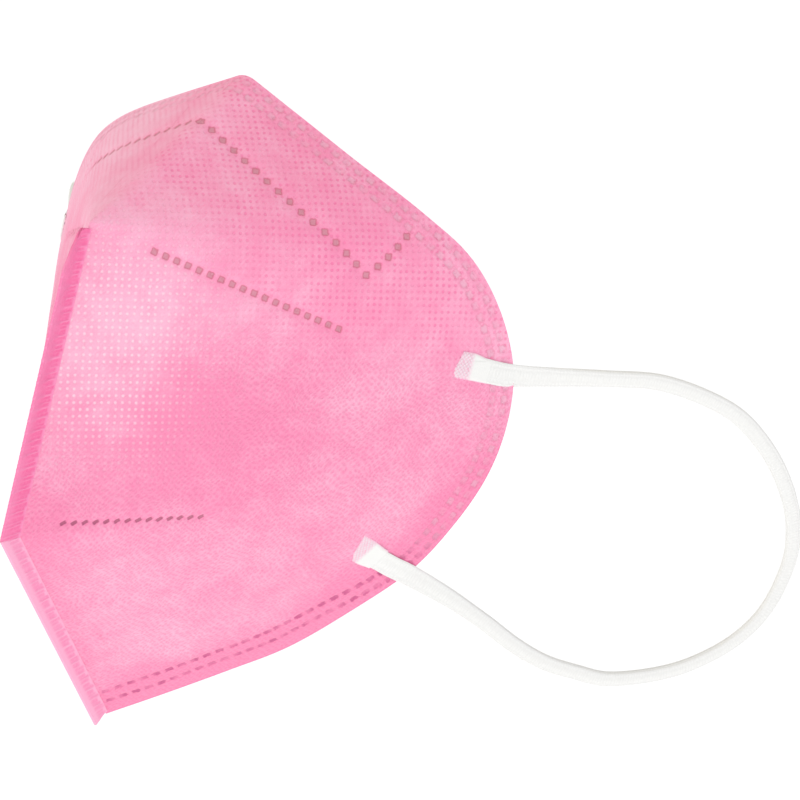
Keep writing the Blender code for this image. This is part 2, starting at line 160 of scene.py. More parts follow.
# Right half: painted light and shade, a lighter pink at the nose and a deep patch over the cheek where it lies in
# shade
RIGHT_PAINTED_SHADE_PATCHES = ((-15.0, 18.0, 26.0, 0.6),)
HEM_TONE, HEM_TONE_REACH, HEM_TONE_HEIGHT = 0.8, 15.0 * MM, (14.0 * MM, -8.0 * MM)
# Painted glints on the embossed dots where the front faces the light, as soft patches (back, up, radius, strength)
GLINT_PATCHES = ((-35.0, 27.0, 15.0, 1.0), (-36.0, 6.0, 13.0, 1.0))

# Ear bands and tabs
BAND_STEPS = 8
BAND_RING = 1.2 * MM
BAND_SIDES = 40
BAND_EDGE, BAND_CROWN, BAND_RIBS = 0.55, 0.8, 5.0
BAND_TURN = (2.0 * MM, 14.0 * MM)
BAND_SWELL = (4.0 * MM, 34.0 * MM)
BAND_HEIGHT, BAND_SETTLE = 0.24 * MM, (8.0 * MM, 40.0 * MM)
BAND_FEATHER, BAND_THIN = 2.6 * MM, 0.35
TAB_STEP = 0.16 * MM
TAB_BORDER, TAB_LOW, TAB_BAND = 0.6 * MM, 0.5, (0.2 * MM, 4.0 * MM)
TAB_IMPRINT = (0.2 * MM, 1.6 * MM)
UPPER_TAB_CUT, LOWER_TAB_CUT = (-2.8 * MM, 0.3), (-2.6 * MM, -0.45)
UPPER_TAB_SHIFT, LOWER_TAB_SHIFT = 0.0, -0.7 * MM
UPPER_TAB_DROP, LOWER_TAB_DROP = -0.5 * MM, 0.0
TAB_END, TAB_ROUND = 5.9 * MM, 0.9 * MM
TAB_NARROW, TAB_NARROW_START, TAB_PINK_EDGE = 0.13, 0.3, (0.05 * MM, 0.35 * MM)
TAB_FOOT, TAB_PRESS = 0.1 * MM, 0.14 * MM
TAB_ROUND_SPAN, KNURL_EDGE = (-0.2, -0.5), (0.1, 0.6)

# Seam fins
FIN_ROOT = 0.4 * MM
FIN_STEP = 0.2 * MM
FIN_ACROSS = 14
FIN_THIN, FIN_EDGE = 0.75, 0.2
FIN_TOP_CUT, CHIN_TIP_CUT = 1.3 * MM, 1.0 * MM
FIN_TAPER, FIN_TAPER_START, FIN_TAPER_CURVE = 9.0 * MM, 0.4, 1.6
COMB_RIDGE, COMB_EDGE = 0.1, 0.4
COMB_WANDER, COMB_RAGGED, COMB_START = 0.3, np.array((-0.25, 0.35)) * MM, 0.15 * MM
FRONT_SLANT, FRONT_FADE = -0.17, (0.45, 1.0, 0.45)
CHIN_SLANT, CHIN_PITCH, CHIN_FADE = 0.6, 1.4, (0.45, 0.75, 1.0)
COMB_DRIFT, COMB_DRIFT_START, COMB_SLOW_DRIFT = 1.7, 0.8, 0.61
RIDGE_MEAN, RIDGE_SWING, RIDGE_CHANGE, RIDGE_FIRST = 0.6, 0.4, 2.4, 1.0
START_CHANGE = 4.1

# Studio
SENSOR_WIDTH = 36.0
FLOOR_REACH, FLOOR_FLAT, FLOOR_RISE = 200.0, 2.0, 60.0
KEY_PLACE, FILL_PLACE = (0.6, -0.6, 0.5), (-0.45, -0.35, 0.8)
LIGHT_SIZE = 0.8

# Names and tolerances of the meshes
FLAT_LAYER = "flat"
FLAT_SPAN = 0.1
MERGE = 1e-6
SHARP_ANGLE = math.radians(40.0)


def length_prop(label, text, millimetres):
    return FloatProperty(name=label, description=text, default=millimetres * MM, unit="LENGTH", precision=5)


def colour_prop(label, text, colour):
    return FloatVectorProperty(
        name=label, description=text, default=colour, subtype="COLOR", min=0.0, max=1.0
    )


class FabricSettings(PropertyGroup):
    """Fabric of the halves."""

    light: colour_prop("Light pink", "Outer fabric where it is thin", (0.95, 0.50, 0.67))
    deep: colour_prop("Deep pink", "Outer fabric where fibres lie thick", (0.93, 0.27, 0.47))
    lining: colour_prop("Lining white", "Fabric on the face side", (0.86, 0.85, 0.85))
    dot: colour_prop("Emboss pink", "Embossed dots in thick cloth", (0.90, 0.17, 0.38))
    # Painted glint: the pale colour is light caught by the embossed dots on the lit front
    pale: colour_prop("Emboss white", "Embossed dots in thin cloth", (0.98, 0.72, 0.82))
    inner: colour_prop("Filling white", "Filter and cotton sheets", (0.88, 0.88, 0.86))
    dot_pitch: length_prop("Emboss pitch", "Spacing of the embossed dots", 1.41)
    ridge_radius: length_prop("Nose ridge radius", "Rounding of the fold over the nose", 5.0)
    wave: length_prop("Waviness", "Height of the fabric's slow waves", 0.22)
    row_pitch: length_prop("Row spacing", "Mesh spacing along the rim", 0.5)
    column_pitch: length_prop("Column spacing", "Mesh spacing towards the rim", 0.62)


class WeldSettings(PropertyGroup):
    """Ultrasonic weld marks."""

    colour: colour_prop("Weld", "Fused marks of spacers and pocket", (0.56, 0.11, 0.17))
    dark: colour_prop("Lower weld", "Fused marks of the lower spacer", (0.36, 0.05, 0.14))
    dash: colour_prop("Chin weld", "Fused marks along the chin's rim", (0.58, 0.09, 0.25))
    window: colour_prop("Rim weld", "Fused marks along the rim", (0.78, 0.45, 0.57))
    tint: colour_prop("Rim tint", "Pink that shows through the lining's welds", (0.88, 0.68, 0.74))
    outline: colour_prop("Weld outline", "Pressed border of a mark", (0.72, 0.12, 0.26))
    rim_pitch: length_prop("Rim pitch", "Spacing of the rim marks", 3.05)
    rim_length: length_prop("Rim mark length", "Length of a rim mark", 1.9)
    rim_width: length_prop("Rim mark width", "Width of a rim mark", 1.5)
    rim_margin: length_prop("Rim margin", "Edge to outer row of marks", 1.9)
    chin_margin: length_prop("Chin margin", "Edge to outer row near the chin", 4.6)
    row_gap: length_prop("Row gap", "Between the two rows of rim marks", 2.9)
    chin_gap: length_prop("Chin row gap", "Between the two rows near the chin", 3.6)
    pocket_pitch: length_prop("Pocket pitch", "Spacing of the nose pocket's marks", 3.12)
    pocket_size: length_prop("Pocket mark", "Side of a nose pocket mark", 1.55)
    spacer_size: length_prop("Spacer mark", "Side of a spacer mark", 1.4)
    depth: length_prop("Weld depth", "How deep a mark is pressed", 0.2)
    dimple: length_prop("Dimple depth", "How far a mark draws the fabric in", 0.28)


class SeamSettings(PropertyGroup):
    """Fused front and chin seams."""

    colour: colour_prop("Front seam", "Fused front fin", (0.94, 0.29, 0.52))
    stroke: colour_prop("Front stroke", "Pressed strokes across the front fin", (0.90, 0.14, 0.36))
    chin_colour: colour_prop("Chin seam", "Fused chin fin", (0.95, 0.42, 0.62))
    chin_stroke: colour_prop("Chin stroke", "Pressed strokes across the chin fin", (0.91, 0.27, 0.49))
    front_width: length_prop("Front fin", "Width of the front fin", 4.9)
    chin_width: length_prop("Chin fin", "Width of the chin fin", 3.75)
    thickness: length_prop("Fin thickness", "Thickness of the fins", 1.0)
    pitch: length_prop("Stroke pitch", "Spacing of the pressed strokes", 0.95)
    depth: length_prop("Stroke depth", "Depth of the pressed strokes", 0.16)


class BandSettings(PropertyGroup):
    """Ear bands and their weld tabs."""

    colour: colour_prop("Band white", "Knitted elastic", (0.86, 0.86, 0.85))
    tint: colour_prop("Tab tint", "Pink that shows through the welded tab", (0.87, 0.66, 0.76))
    width: length_prop("Band width", "Width of the free band", 4.0)
    end_width: length_prop("Band end width", "Width of the band at its tabs", 5.3)
    thickness: length_prop("Band thickness", "Thickness of the free band", 1.8)
    end_thickness: length_prop("Band end thickness", "Thickness of the band at its tabs", 0.42)
    rib: length_prop("Rib height", "Height of the knitted ribs", 0.05)
    tab_length: length_prop("Tab length", "Length of a weld tab", 9.0)
    tab_width: length_prop("Tab width", "Width of a weld tab", 6.0)
    tab_thickness: length_prop("Tab thickness", "Thickness of a weld tab", 0.36)
    tab_pitch: length_prop("Knurl pitch", "Spacing of the tab's pressed diamonds", 0.95)


class StageSettings(PropertyGroup):
    """Camera, floor and light."""

    floor: colour_prop("Floor", "Pale floor", (0.95, 0.95, 0.95))
    drop: FloatProperty(name="Floor drop", description="Floor below the mask", default=0.45, unit="LENGTH")
    floor_glow: FloatProperty(name="Floor glow", description="Light the floor gives itself", default=0.55)
    lens: FloatProperty(name="Lens", description="Focal length in millimetres", default=90.0)
    sky: FloatProperty(name="Sky", description="Strength of the even white light", default=0.5)
    key: FloatProperty(name="Key light", description="Power of the main soft light in watts", default=1.95)
    fill: FloatProperty(name="Fill light", description="Power of the side soft light in watts", default=2.2)
    key_tint: colour_prop("Key tint", "Colour of the main soft light", (1.0, 1.0, 1.0))
    fill_tint: colour_prop("Fill tint", "Warm colour of the side soft light", (1.0, 0.85, 0.5))


# Geometry of one half


def unit(v):
    return v / np.linalg.norm(v, axis=-1, keepdims=True)


def back_normal(start, end):
    """Unit normal of a fold line in the middle plane, towards the face."""
    along = unit(end - start)
    normal = np.array((-along[1], along[0]))
    return normal * np.sign(normal[0])


NOSE_IN = back_normal(BRIDGE, NOSE_CORNER)
CHEEK_IN = back_normal(NOSE_CORNER, FRONT_CORNER)
CHIN_IN = back_normal(FRONT_CORNER, CHIN_TIP)
NOSE_FOLD = (BRIDGE, NOSE_IN, math.tan(NOSE_OPENING))
CHEEK_FOLD = (NOSE_CORNER, CHEEK_IN, math.tan(CHEEK_OPENING))
CHIN_FOLD = (CHIN_TIP, CHIN_IN, math.tan(CHIN_OPENING))
LEAST_RISE = 1e-7
SLOPE_STEP = 1e-5


def smoothstep(low, high, value):
    t = np.clip((value - low) / (high - low), 0.0, 1.0)
    return t * t * (3.0 - 2.0 * t)


def half_width(p, folds=(NOSE_FOLD, CHEEK_FOLD, CHIN_FOLD)):
    """Sideways distance of the outer surface at (back, up): three planes with rounded bends."""
    rises = [np.maximum((p - start) @ normal, LEAST_RISE) * slope for start, normal, slope in folds]
    return sum(rise**-BEND_SHARPNESS for rise in rises) ** (-1.0 / BEND_SHARPNESS)


def surface_normal(p):
    back = np.array((SLOPE_STEP, 0.0))
    up = np.array((0.0, SLOPE_STEP))
    slope_back = (half_width(p + back) - half_width(p - back)) / (2.0 * SLOPE_STEP)
    slope_up = (half_width(p + up) - half_width(p - up)) / (2.0 * SLOPE_STEP)
    return unit(np.stack((np.ones_like(slope_back), -slope_back, -slope_up), -1))


def lift(p, depth=0.0):
    """Points of the left half at (back, up), a given depth under the outer surface."""
    surface = np.concatenate((half_width(p)[..., None], p), -1)
    return surface - np.asarray(depth)[..., None] * surface_normal(p)


def smooth_through(points, steps):
    """Smooth curve through points, with steps samples in each stretch."""
    pts = np.vstack((2 * points[0] - points[1], points, 2 * points[-1] - points[-2]))
    t = (np.arange(steps) / steps)[None, :, None]
    a, b, c, d = (pts[k : len(pts) - 3 + k, None, :] for k in range(4))
    bend = (2 * a - 5 * b + 4 * c - d) * t**2 + (3 * b - a - 3 * c + d) * t**3
    curve = b + 0.5 * ((c - a) * t + bend)
    return np.vstack((curve.reshape(-1, points.shape[1]), points[-1]))


def run_along(points):
    return np.concatenate(((0.0,), np.cumsum(np.linalg.norm(np.diff(points, axis=0), axis=1))))


def at_run(points, run, places):
    return np.stack([np.interp(places, run, points[:, k]) for k in range(points.shape[1])], -1)


RIM = smooth_through(np.vstack((BRIDGE, RIM_POINTS, CHIN_TIP)), RIM_STEPS)
RIM_RUN = run_along(lift(RIM))


def rim_at(run):
    return at_run(RIM, RIM_RUN, run)


def rim_cross(origin, along):
    """Length along the rim where a line from origin meets it."""
    away = (RIM - origin) @ np.array((-along[1], along[0]))
    ahead = (RIM - origin) @ along > 0
    cross = np.where((away[:-1] * away[1:] <= 0) & ahead[:-1])[0][0]
    share = away[cross] / (away[cross] - away[cross + 1])
    return RIM_RUN[cross] + share * (RIM_RUN[cross + 1] - RIM_RUN[cross])


UPPER_ALONG = np.array((math.cos(UPPER_CREASE_RISE), math.sin(UPPER_CREASE_RISE)))
LOWER_ALONG = np.array((math.cos(LOWER_CREASE_RISE), math.sin(LOWER_CREASE_RISE)))
UPPER_RUN = rim_cross(NOSE_CORNER, UPPER_ALONG)
LOWER_RUN = rim_cross(FRONT_CORNER, LOWER_ALONG)
SPLIT_RUN = float(np.interp(-SPLIT_HEIGHT_RIM, -RIM[:, 1], RIM_RUN))
FRONT_LENGTH = float(np.linalg.norm(FRONT_CORNER - NOSE_CORNER))


def meet(a, along_a, b, along_b):
    """Where two lines cross."""
    return a + along_a * np.linalg.solve(np.array((along_a, -along_b)).T, b - a)[0]


def ray_point(corner, along, width):
    """Where a crease ray has a given half width."""
    places = corner + along * np.linspace(0.0, 20.0 * MM, 400)[:, None]
    return at_run(places, half_width(places), np.array(width))


def behind_run(start, normal, distance, runs):
    """Length along a stretch of the rim where it lies a given distance behind a fold."""
    places = np.linspace(*runs, 400)
    away = (rim_at(places) - start) @ normal
    order = np.argsort(away)
    return float(np.interp(distance, away[order], places[order]))


def layer_edge(setback):
    """Front hinge points and rim lengths where a layer's halves end, further in for inner layers."""
    upper = ray_point(NOSE_CORNER, UPPER_ALONG, HINGE_WIDTH + setback)
    lower = ray_point(FRONT_CORNER, LOWER_ALONG, HINGE_WIDTH + setback)
    nose_run = behind_run(BRIDGE, NOSE_IN, NOSE_EDGE + setback, (0.0, UPPER_RUN))
    chin_run = behind_run(CHIN_TIP, CHIN_IN, CHIN_EDGE + setback, (LOWER_RUN, RIM_RUN[-1]))
    return upper, lower, nose_run, chin_run


def front_split(upper, lower):
    return upper + (lower - upper) * (upper[1] - SPLIT_HEIGHT_FRONT) / (upper[1] - lower[1])


def half_edges(part, edge, pitch):
    """Inner ends and rim lengths of the rows of the upper or lower sheet of a half, going down."""
    upper, lower, nose_run, chin_run = edge
    apex, fold_run, crease_run = upper, nose_run, UPPER_RUN
    if part == "lower":
        apex, fold_run, crease_run = lower, chin_run, LOWER_RUN
    fan = int(abs(crease_run - fold_run) / pitch)
    rest = int(abs(SPLIT_RUN - crease_run) / pitch)
    crowd = np.linspace(0.0, 1.0, fan + 1) ** RIDGE_CROWDING
    fan_runs = fold_run + (crease_run - fold_run) * crowd
    runs = np.concatenate((fan_runs, np.linspace(crease_run, SPLIT_RUN, rest + 1)[1:]))
    straight = np.linspace(apex, front_split(upper, lower), rest + 1)[1:]
    inner = np.vstack((np.repeat(apex[None], fan + 1, 0), straight))
    order = slice(None, None, -1 if part == "lower" else 1)
    return inner[order], runs[order]


def half_grid(part, edge, rim_gap, pitch, column_pitch, hem_pitch):
    """Grid of (back, up) points from the folds to the rim, finer in the hem, and its rim lengths."""
    inner, runs = half_edges(part, edge, pitch)
    rim = rim_at(runs)
    reach = np.linalg.norm(lift(rim) - lift(inner), axis=1)[:, None]
    hem = np.linspace(0.0, HEM, int(HEM / hem_pitch) + 1)[None]
    body = np.linspace(0.0, 1.0, int(reach.max() / column_pitch) + 1)[None, 1:]
    hem_part = rim_gap + np.repeat(hem, len(reach), 0)
    body_part = rim_gap + HEM + (reach - HEM - rim_gap) * body
    share = 1.0 - np.concatenate((hem_part, body_part), 1)[:, ::-1] / reach
    points = inner[:, None] + (rim - inner)[:, None] * share[..., None]
    return points, np.repeat(runs[:, None], points.shape[1], 1)


def patch(inner, outer, pitch):
    """Grid of (back, up) points between two lines of equal count."""
    columns = int(np.linalg.norm(outer - inner, axis=1).max() / pitch) + 2
    share = np.linspace(0.0, 1.0, columns)[None, :, None]
    return inner[:, None] + (outer - inner)[:, None] * share


def unfolding(part):
    """Table from a ray's swing off the front seam to its angle in the flat cloth."""
    upper = part == "upper"
    corner = NOSE_CORNER if upper else FRONT_CORNER
    folds = (NOSE_FOLD, CHEEK_FOLD) if upper else (CHEEK_FOLD, CHIN_FOLD)
    seam = (FRONT_CORNER - NOSE_CORNER) if upper else (NOSE_CORNER - FRONT_CORNER)
    start = math.atan2(seam[1], seam[0])
    way = 1.0 if upper else -1.0
    swing = np.linspace(0.0, math.radians(150.0), 3000)
    angle = start + way * swing
    rays = np.stack((np.cos(angle), np.sin(angle)), -1)
    lifted = unit(np.concatenate((half_width(corner + rays, folds)[:, None], rays), -1))
    return corner, start, way, swing, run_along(lifted)


UNFOLDING = {part: unfolding(part) for part in ("upper", "lower")}


def flat_place(part, p):
    """Where points at (back, up) lie in the flat cloth: across from the front seam, and up."""
    corner, start, way, swing, turned = UNFOLDING[part]
    ray = p - corner
    angle = np.arctan2(ray[..., 1], ray[..., 0])
    theta = way * (np.interp(way * (angle - start), swing, turned) - math.pi / 2)
    reach = np.linalg.norm(lift(p) - np.array((0.0, *corner)), axis=-1)
    drop = 0.0 if part == "upper" else FRONT_LENGTH
    return np.stack((reach * np.cos(theta), reach * np.sin(theta) - drop), -1)


def rounded_ridge(p, radius):
    """Shift that rounds the fold over the nose, at (back, up) points of the outer surface."""
    along = unit(BRIDGE - NOSE_CORNER)
    radius = radius * smoothstep(0.0, RIDGE_START, (p - NOSE_CORNER) @ along) + LEAST_RISE
    behind = np.maximum((p - BRIDGE) @ NOSE_IN, 0.0)
    share = behind / math.cos(NOSE_OPENING) * math.tan(NOSE_OPENING) / radius
    turn = np.clip(share, 0.0, 1.0) * (math.pi / 2 - NOSE_OPENING)
    side = radius * np.sin(turn) - behind * math.tan(NOSE_OPENING)
    back = radius / math.sin(NOSE_OPENING) - radius * np.cos(turn) - behind
    inside = (share < 1.0)[..., None]
    shift = np.concatenate((side[..., None], back[..., None] * NOSE_IN), -1)
    return np.where(inside, shift, 0.0)


# Weld marks and relief of the fabric, in the flat cloth


def spaced(points, count):
    """Equally spaced points along a line, and the line's direction there."""
    run = run_along(points)
    places = np.linspace(0.0, run[-1], count)
    ahead = at_run(points, run, np.minimum(places + MM / 10, run[-1]))
    behind = at_run(points, run, np.maximum(places - MM / 10, 0.0))
    return at_run(points, run, places), unit(ahead - behind)


def turned(direction, angle):
    c, s = math.cos(angle), math.sin(angle)
    return direction @ np.array(((c, s), (-s, c)))


def spot_marks(part, weld):
    """Centre, direction and half size of each pocket and spacer mark of a sheet."""
    if part == "lower":
        line = flat_place(part, np.linspace(*LOWER_SPACER, FINE_STEPS))
        centres, along = spaced(line, LOWER_SPACER_MARKS)
        size = np.array((weld.spacer_size * DASH_LENGTH, weld.spacer_size * DASH_WIDTH)) / 2
        return centres, turned(along, DASH_TILT), np.repeat(size[None], len(centres), 0)
    pocket = flat_place(part, smooth_through(POCKET_LINE, FINE_STEPS))
    back = flat_place(part, np.linspace(*POCKET_RETURN, FINE_STEPS))
    spacer = flat_place(part, np.linspace(*UPPER_SPACER, FINE_STEPS))
    counts = (
        round(run_along(pocket)[-1] / weld.pocket_pitch) + 1,
        round(run_along(back)[-1] / weld.pocket_pitch) + 1,
        UPPER_SPACER_MARKS,
    )
    sizes = (weld.pocket_size, weld.pocket_size, weld.spacer_size)
    made = [spaced(line, count) for line, count in zip((pocket, back, spacer), counts)]
    tilts = (POCKET_TILT, POCKET_TILT, 0.0)
    along = [turned(m[1], tilt) for m, tilt in zip(made, tilts)]
    halves = [np.full((count, 2), size / 2) for count, size in zip(counts, sizes)]
    return np.vstack([m[0] for m in made]), np.vstack(along), np.vstack(halves)


def rim_marks(part, weld):
    """The two rows of marks along the rim of a sheet."""
    runs = np.arange(weld.rim_pitch / 2, RIM_RUN[-1], weld.rim_pitch)
    near = (runs < SPLIT_RUN + HEM) if part == "upper" else (runs > SPLIT_RUN - HEM)
    runs = runs[near]
    edge = flat_place(part, rim_at(runs))
    along = unit(flat_place(part, rim_at(runs + MM / 5)) - flat_place(part, rim_at(runs - MM / 5)))
    inward = np.stack((along[:, 1], -along[:, 0]), -1)
    middle = np.array((0.0, 0.0 if part == "upper" else -FRONT_LENGTH))
    inward *= np.sign(np.sum(inward * (middle - edge), 1))[:, None]
    chin = smoothstep(LOWER_RUN, LOWER_RUN + CHIN_CHANGE, runs)
    margin = (weld.rim_margin + (weld.chin_margin - weld.rim_margin) * chin)[:, None]
    gap = (weld.row_gap + (weld.chin_gap - weld.row_gap) * chin)[:, None]
    centres = np.vstack((edge + inward * margin, edge + inward * (margin + gap)))
    width = weld.rim_width * (1.0 + (CHIN_DASH_WIDTH - 1.0) * chin)
    half = np.stack((np.full_like(width, weld.rim_length), width), -1) / 2
    return centres, np.vstack((along, along)), np.vstack((half, half))


def mark_places(flat, centres, along, half):
    """Where points lie in their nearest mark, in half sizes along and across it."""
    points = flat.reshape(-1, 2)
    gap = np.stack([points[:, None, k] - centres[None, :, k] for k in (0, 1)])
    nearest = np.argmin(gap[0] ** 2 + gap[1] ** 2, 1)
    away = points - centres[nearest]
    ahead = np.sum(away * along[nearest], 1)
    across = away[:, 1] * along[nearest, 0] - away[:, 0] * along[nearest, 1]
    places = np.abs(np.stack((ahead, across), -1)) / half[nearest]
    return np.minimum(places, FAR_FROM_MARK).reshape(flat.shape)


def mark_distance(places):
    """Distance from the border of a rounded square mark, in half sizes."""
    beyond = np.maximum(places - (1.0 - MARK_CORNER), 0.0)
    return np.linalg.norm(beyond, axis=-1) - MARK_CORNER


def soft_patches(p, patches):
    """Sum of soft round patches (back, up, radius, strength), in millimetres."""
    total = np.zeros(p.shape[:-1])
    for back, up, radius, strength in patches:
        away = np.linalg.norm(p - np.array((back, up)) * MM, axis=-1) / (radius * MM)
        total += strength * np.exp(-(away**2))
    return total


def slow_waves(flat):
    """Gentle unevenness of the cloth, from -1 to 1."""
    x, y = flat[..., 0] / MM, flat[..., 1] / MM
    broad = np.sin(0.11 * x + 0.07 * y + 0.6) * np.sin(0.05 * x - 0.13 * y + 1.1)
    small = np.sin(0.31 * x - 0.17 * y + 2.0) * np.sin(0.19 * x + 0.27 * y)
    return 0.65 * broad + 0.35 * small


def rim_away(part, flat):
    """Distance of points in the flat cloth from the rim."""
    away = np.full(flat.shape[:-1], np.inf)
    for place_at in flat_place(part, RIM):
        away = np.minimum(away, np.sum((flat - place_at) ** 2, -1))
    return np.sqrt(away)


def fold_rise(part, edge, flat):
    """Rise of a layer from 0 at the folds where its sheet ends to 1 further in, steeper at the nose."""
    upper, lower, nose_run, chin_run = edge
    apex, fold_run, reach = upper, nose_run, NOSE_LINING_FOLD
    if part == "lower":
        apex, fold_run, reach = lower, chin_run, LINING_FOLD
    corner = flat_place(part, apex)
    rise = np.ones(flat.shape[:-1])
    for far, rising in ((rim_at(fold_run), reach), (front_split(upper, lower), LINING_FOLD)):
        along = flat_place(part, far) - corner
        share = np.clip((flat - corner) @ along / (along @ along), 0.0, 1.0)
        away = np.linalg.norm(flat - corner - share[..., None] * along, axis=-1)
        rise = np.minimum(rise, smoothstep(*rising, away))
    return rise


def fabric_tone(part, p, flat, sign):
    """Depth of the pink: deeper in patches and along the lower hem, with painted light and shade in the patches; on
    the right half painted light and shade, lighter at the nose and deeper over the cheek.
    """
    tone_and_shade = LEFT_TONE + soft_patches(p, LEFT_TONE_AND_SHADE_PATCHES)
    # Right half: painted light and shade in place of the left half's pink, away from the middle plane
    if sign < 0:
        right = RIGHT_PAINTED_LIGHT_TONE + soft_patches(p, RIGHT_PAINTED_SHADE_PATCHES)
        tone_and_shade = tone_and_shade + (right - tone_and_shade) * smoothstep(*RIGHT_PAINTED_LIGHT_START, half_width(p))
    hem = 1.0 - smoothstep(0.0, HEM_TONE_REACH, rim_away(part, flat))
    return tone_and_shade + HEM_TONE * hem * smoothstep(*HEM_TONE_HEIGHT, p[..., 1])


def edge_fade(p, runs):
    """1 in the open cloth, 0 at its folds, rim and split."""
    folds = [smoothstep(0.0, EDGE_FADE, (p - start) @ normal) for start, normal, _ in
             (NOSE_FOLD, CHEEK_FOLD, CHIN_FOLD)]
    lean = (SPLIT_HEIGHT_RIM - SPLIT_HEIGHT_FRONT) / (RIM_POINTS[:, 0].max() - FRONT_CORNER[0])
    split = np.abs(p[..., 1] - SPLIT_HEIGHT_FRONT - lean * (p[..., 0] - FRONT_CORNER[0]))
    rim = np.linalg.norm(p - rim_at(runs), axis=-1)
    return np.prod(folds, axis=0) * smoothstep(0.0, EDGE_FADE, split) * smoothstep(0.0, EDGE_FADE, rim)


# Mesh making


def grid_mesh(points, flat, marks):
    """A sheet of quads through a grid of points, with its flat places and marks as layers."""
    rows, columns = points.shape[:2]
    bm = bmesh.new()
    layers = [(bm.verts.layers.float.new(key), value.ravel().tolist()) for key, value in marks.items()]
    uv = bm.loops.layers.uv.new(FLAT_LAYER)
    bmesh.ops.create_grid(bm, x_segments=columns - 1, y_segments=rows - 1, size=1.0)
    places = points.reshape(-1, 3).tolist()
    for number, vert in enumerate(bm.verts):
        vert.co = places[number]
        for layer, values in layers:
            vert[layer] = values[number]
    bm.verts.index_update()
    cloth = (flat.reshape(-1, 2) / FLAT_SPAN).tolist()
    for face in bm.faces:
        for loop in face.loops:
            loop[uv].uv = cloth[loop.vert.index]
    return bm


def thicken(bm, thickness):
    """Gives a sheet its thickness and marks the vertices of its face side."""
    inside = bm.verts.layers.float.new("inside")
    front = set(bm.verts)
    bmesh.ops.solidify(bm, geom=bm.faces[:], thickness=thickness)
    for vert in bm.verts:
        vert[inside] = 0.0 if vert in front else 1.0


def tube_mesh(rings, flat, marks):
    """A closed tube through rings of points, with filled ends."""
    closed = [np.concatenate((grid, grid[:, :1]), 1) for grid in (rings, flat, *marks.values())]
    bm = grid_mesh(closed[0], closed[1], dict(zip(marks, closed[2:])))
    bmesh.ops.remove_doubles(bm, verts=bm.verts[:], dist=MERGE)
    bmesh.ops.holes_fill(bm, edges=[e for e in bm.edges if e.is_boundary], sides=0)
    bmesh.ops.recalc_face_normals(bm, faces=bm.faces[:])
    return bm


def place(name, bm, material, sharp=SHARP_ANGLE):
    """A finished object at the origin."""
    mesh = bpy.data.meshes.new(name)
    bm.to_mesh(mesh)
    bm.free()
    mesh.shade_smooth()
    mesh.set_sharp_from_angle(angle=sharp)
    mesh.materials.append(material)
    made = bpy.data.objects.new(name, mesh)
    bpy.context.scene.collection.objects.link(made)
    return made


def fold_across(made, part):
    """Bakes a sheet's placement into its mesh; the crease between its cheek and its nose or chin is worked out but
    not used.
    """
    corner, along = (NOSE_CORNER, UPPER_ALONG) if part == "upper" else (FRONT_CORNER, LOWER_ALONG)
    middle = corner + along * CREASE_MIDDLE
    ray = unit(lift(middle) - lift(corner))
    across = np.cross(surface_normal(middle), ray)
    across *= np.sign(across[2]) * CREASE_REACH
    if part == "upper":
        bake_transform(made)
    else:
        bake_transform(made)


def cloth_piece(name, points, thickness, flat, marks, material, part, sign, nodes):
    """One sheet of one half, mirrored to its side and thickened, hiding the frame's nodes that it stands for."""
    order = slice(None, None, -1 if sign > 0 else 1)
    mirrored = points[order] * np.array((sign, 1.0, 1.0))
    bm = grid_mesh(mirrored, flat[order], {key: value[order] for key, value in marks.items()})
    bmesh.ops.remove_doubles(bm, verts=bm.verts[:], dist=MERGE)
    area = sum(face.calc_area() for face in bm.faces)
    thicken(bm, thickness)
    made = place(name, bm, material)
    fold_across(made, part)
    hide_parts(*nodes)
    return made


def panel_nodes(word, part, layer):
    """The frame's nodes that a sheet stands for."""
    words = ("nose", "cheek") if part == "upper" else ("chin",)
    return [f"{word}_{panel}_{layer}" for panel in words]


# Materials, with pattern counts along and across 0.1 m of cloth, and shares of a colour where it is full

FIBRES, LINING_FIBRES = (90.0, 260.0), (80.0, 240.0)
STITCHES, BRUSH_LINES = (210.0, 130.0), (300.0, 4000.0)
LINING_DOTS = (62.0, 62.0)
WEAVE_PER_DOT = (1.3, 1.9)
# The second share is the painted glint on the pale dots
DARK_DOTS, PAINTED_GLINT_DOTS, THREADS, INSIDE_WHITE = 0.65, 0.6, 0.38, 0.9
WINDOW_SHARE, OUTLINE_SHARE, CENTRE_SHARE = (0.55, 0.85), (1.0, 0.3), (1.0, 0.3)
RAGGED_RIM, RAGGED_SPOT = 1.1, 0.6


def new_material(name, roughness, sheen=0.0, metallic=0.0):
    material = bpy.data.materials.new(name)
    material.use_nodes = True
    shader = material.node_tree.nodes["Principled BSDF"]
    shader.inputs["Roughness"].default_value = roughness
    shader.inputs["Sheen Weight"].default_value = sheen
    shader.inputs["Metallic"].default_value = metallic
    return material, material.node_tree, shader


def node(tree, kind, inputs=(), **settings):
    made = tree.nodes.new("ShaderNode" + kind)
    for key, value in settings.items():
        setattr(made, key, value)
    for key, value in dict(inputs).items():
        if isinstance(value, bpy.types.NodeSocket):
            tree.links.new(value, made.inputs[key])
        else:
            made.inputs[key].default_value = value
    return made


def maths(tree, operation, a, b=0.0):
    return node(tree, "Math", {0: a, 1: b}, operation=operation).outputs[0]


def times(tree, a, b):
    return maths(tree, "MULTIPLY", a, b)


def flat_cloth(tree):
    """Places in the flat cloth, or along and across a band or fin."""
    return node(tree, "UVMap", uv_map=FLAT_LAYER).outputs[0]


def ramp(tree, value, low, high, at_low=0.0, at_high=1.0):
    inputs = {"Value": value, "From Min": low, "From Max": high, "To Min": at_low, "To Max": at_high}
    return node(tree, "MapRange", inputs, interpolation_type="SMOOTHSTEP").outputs[0]


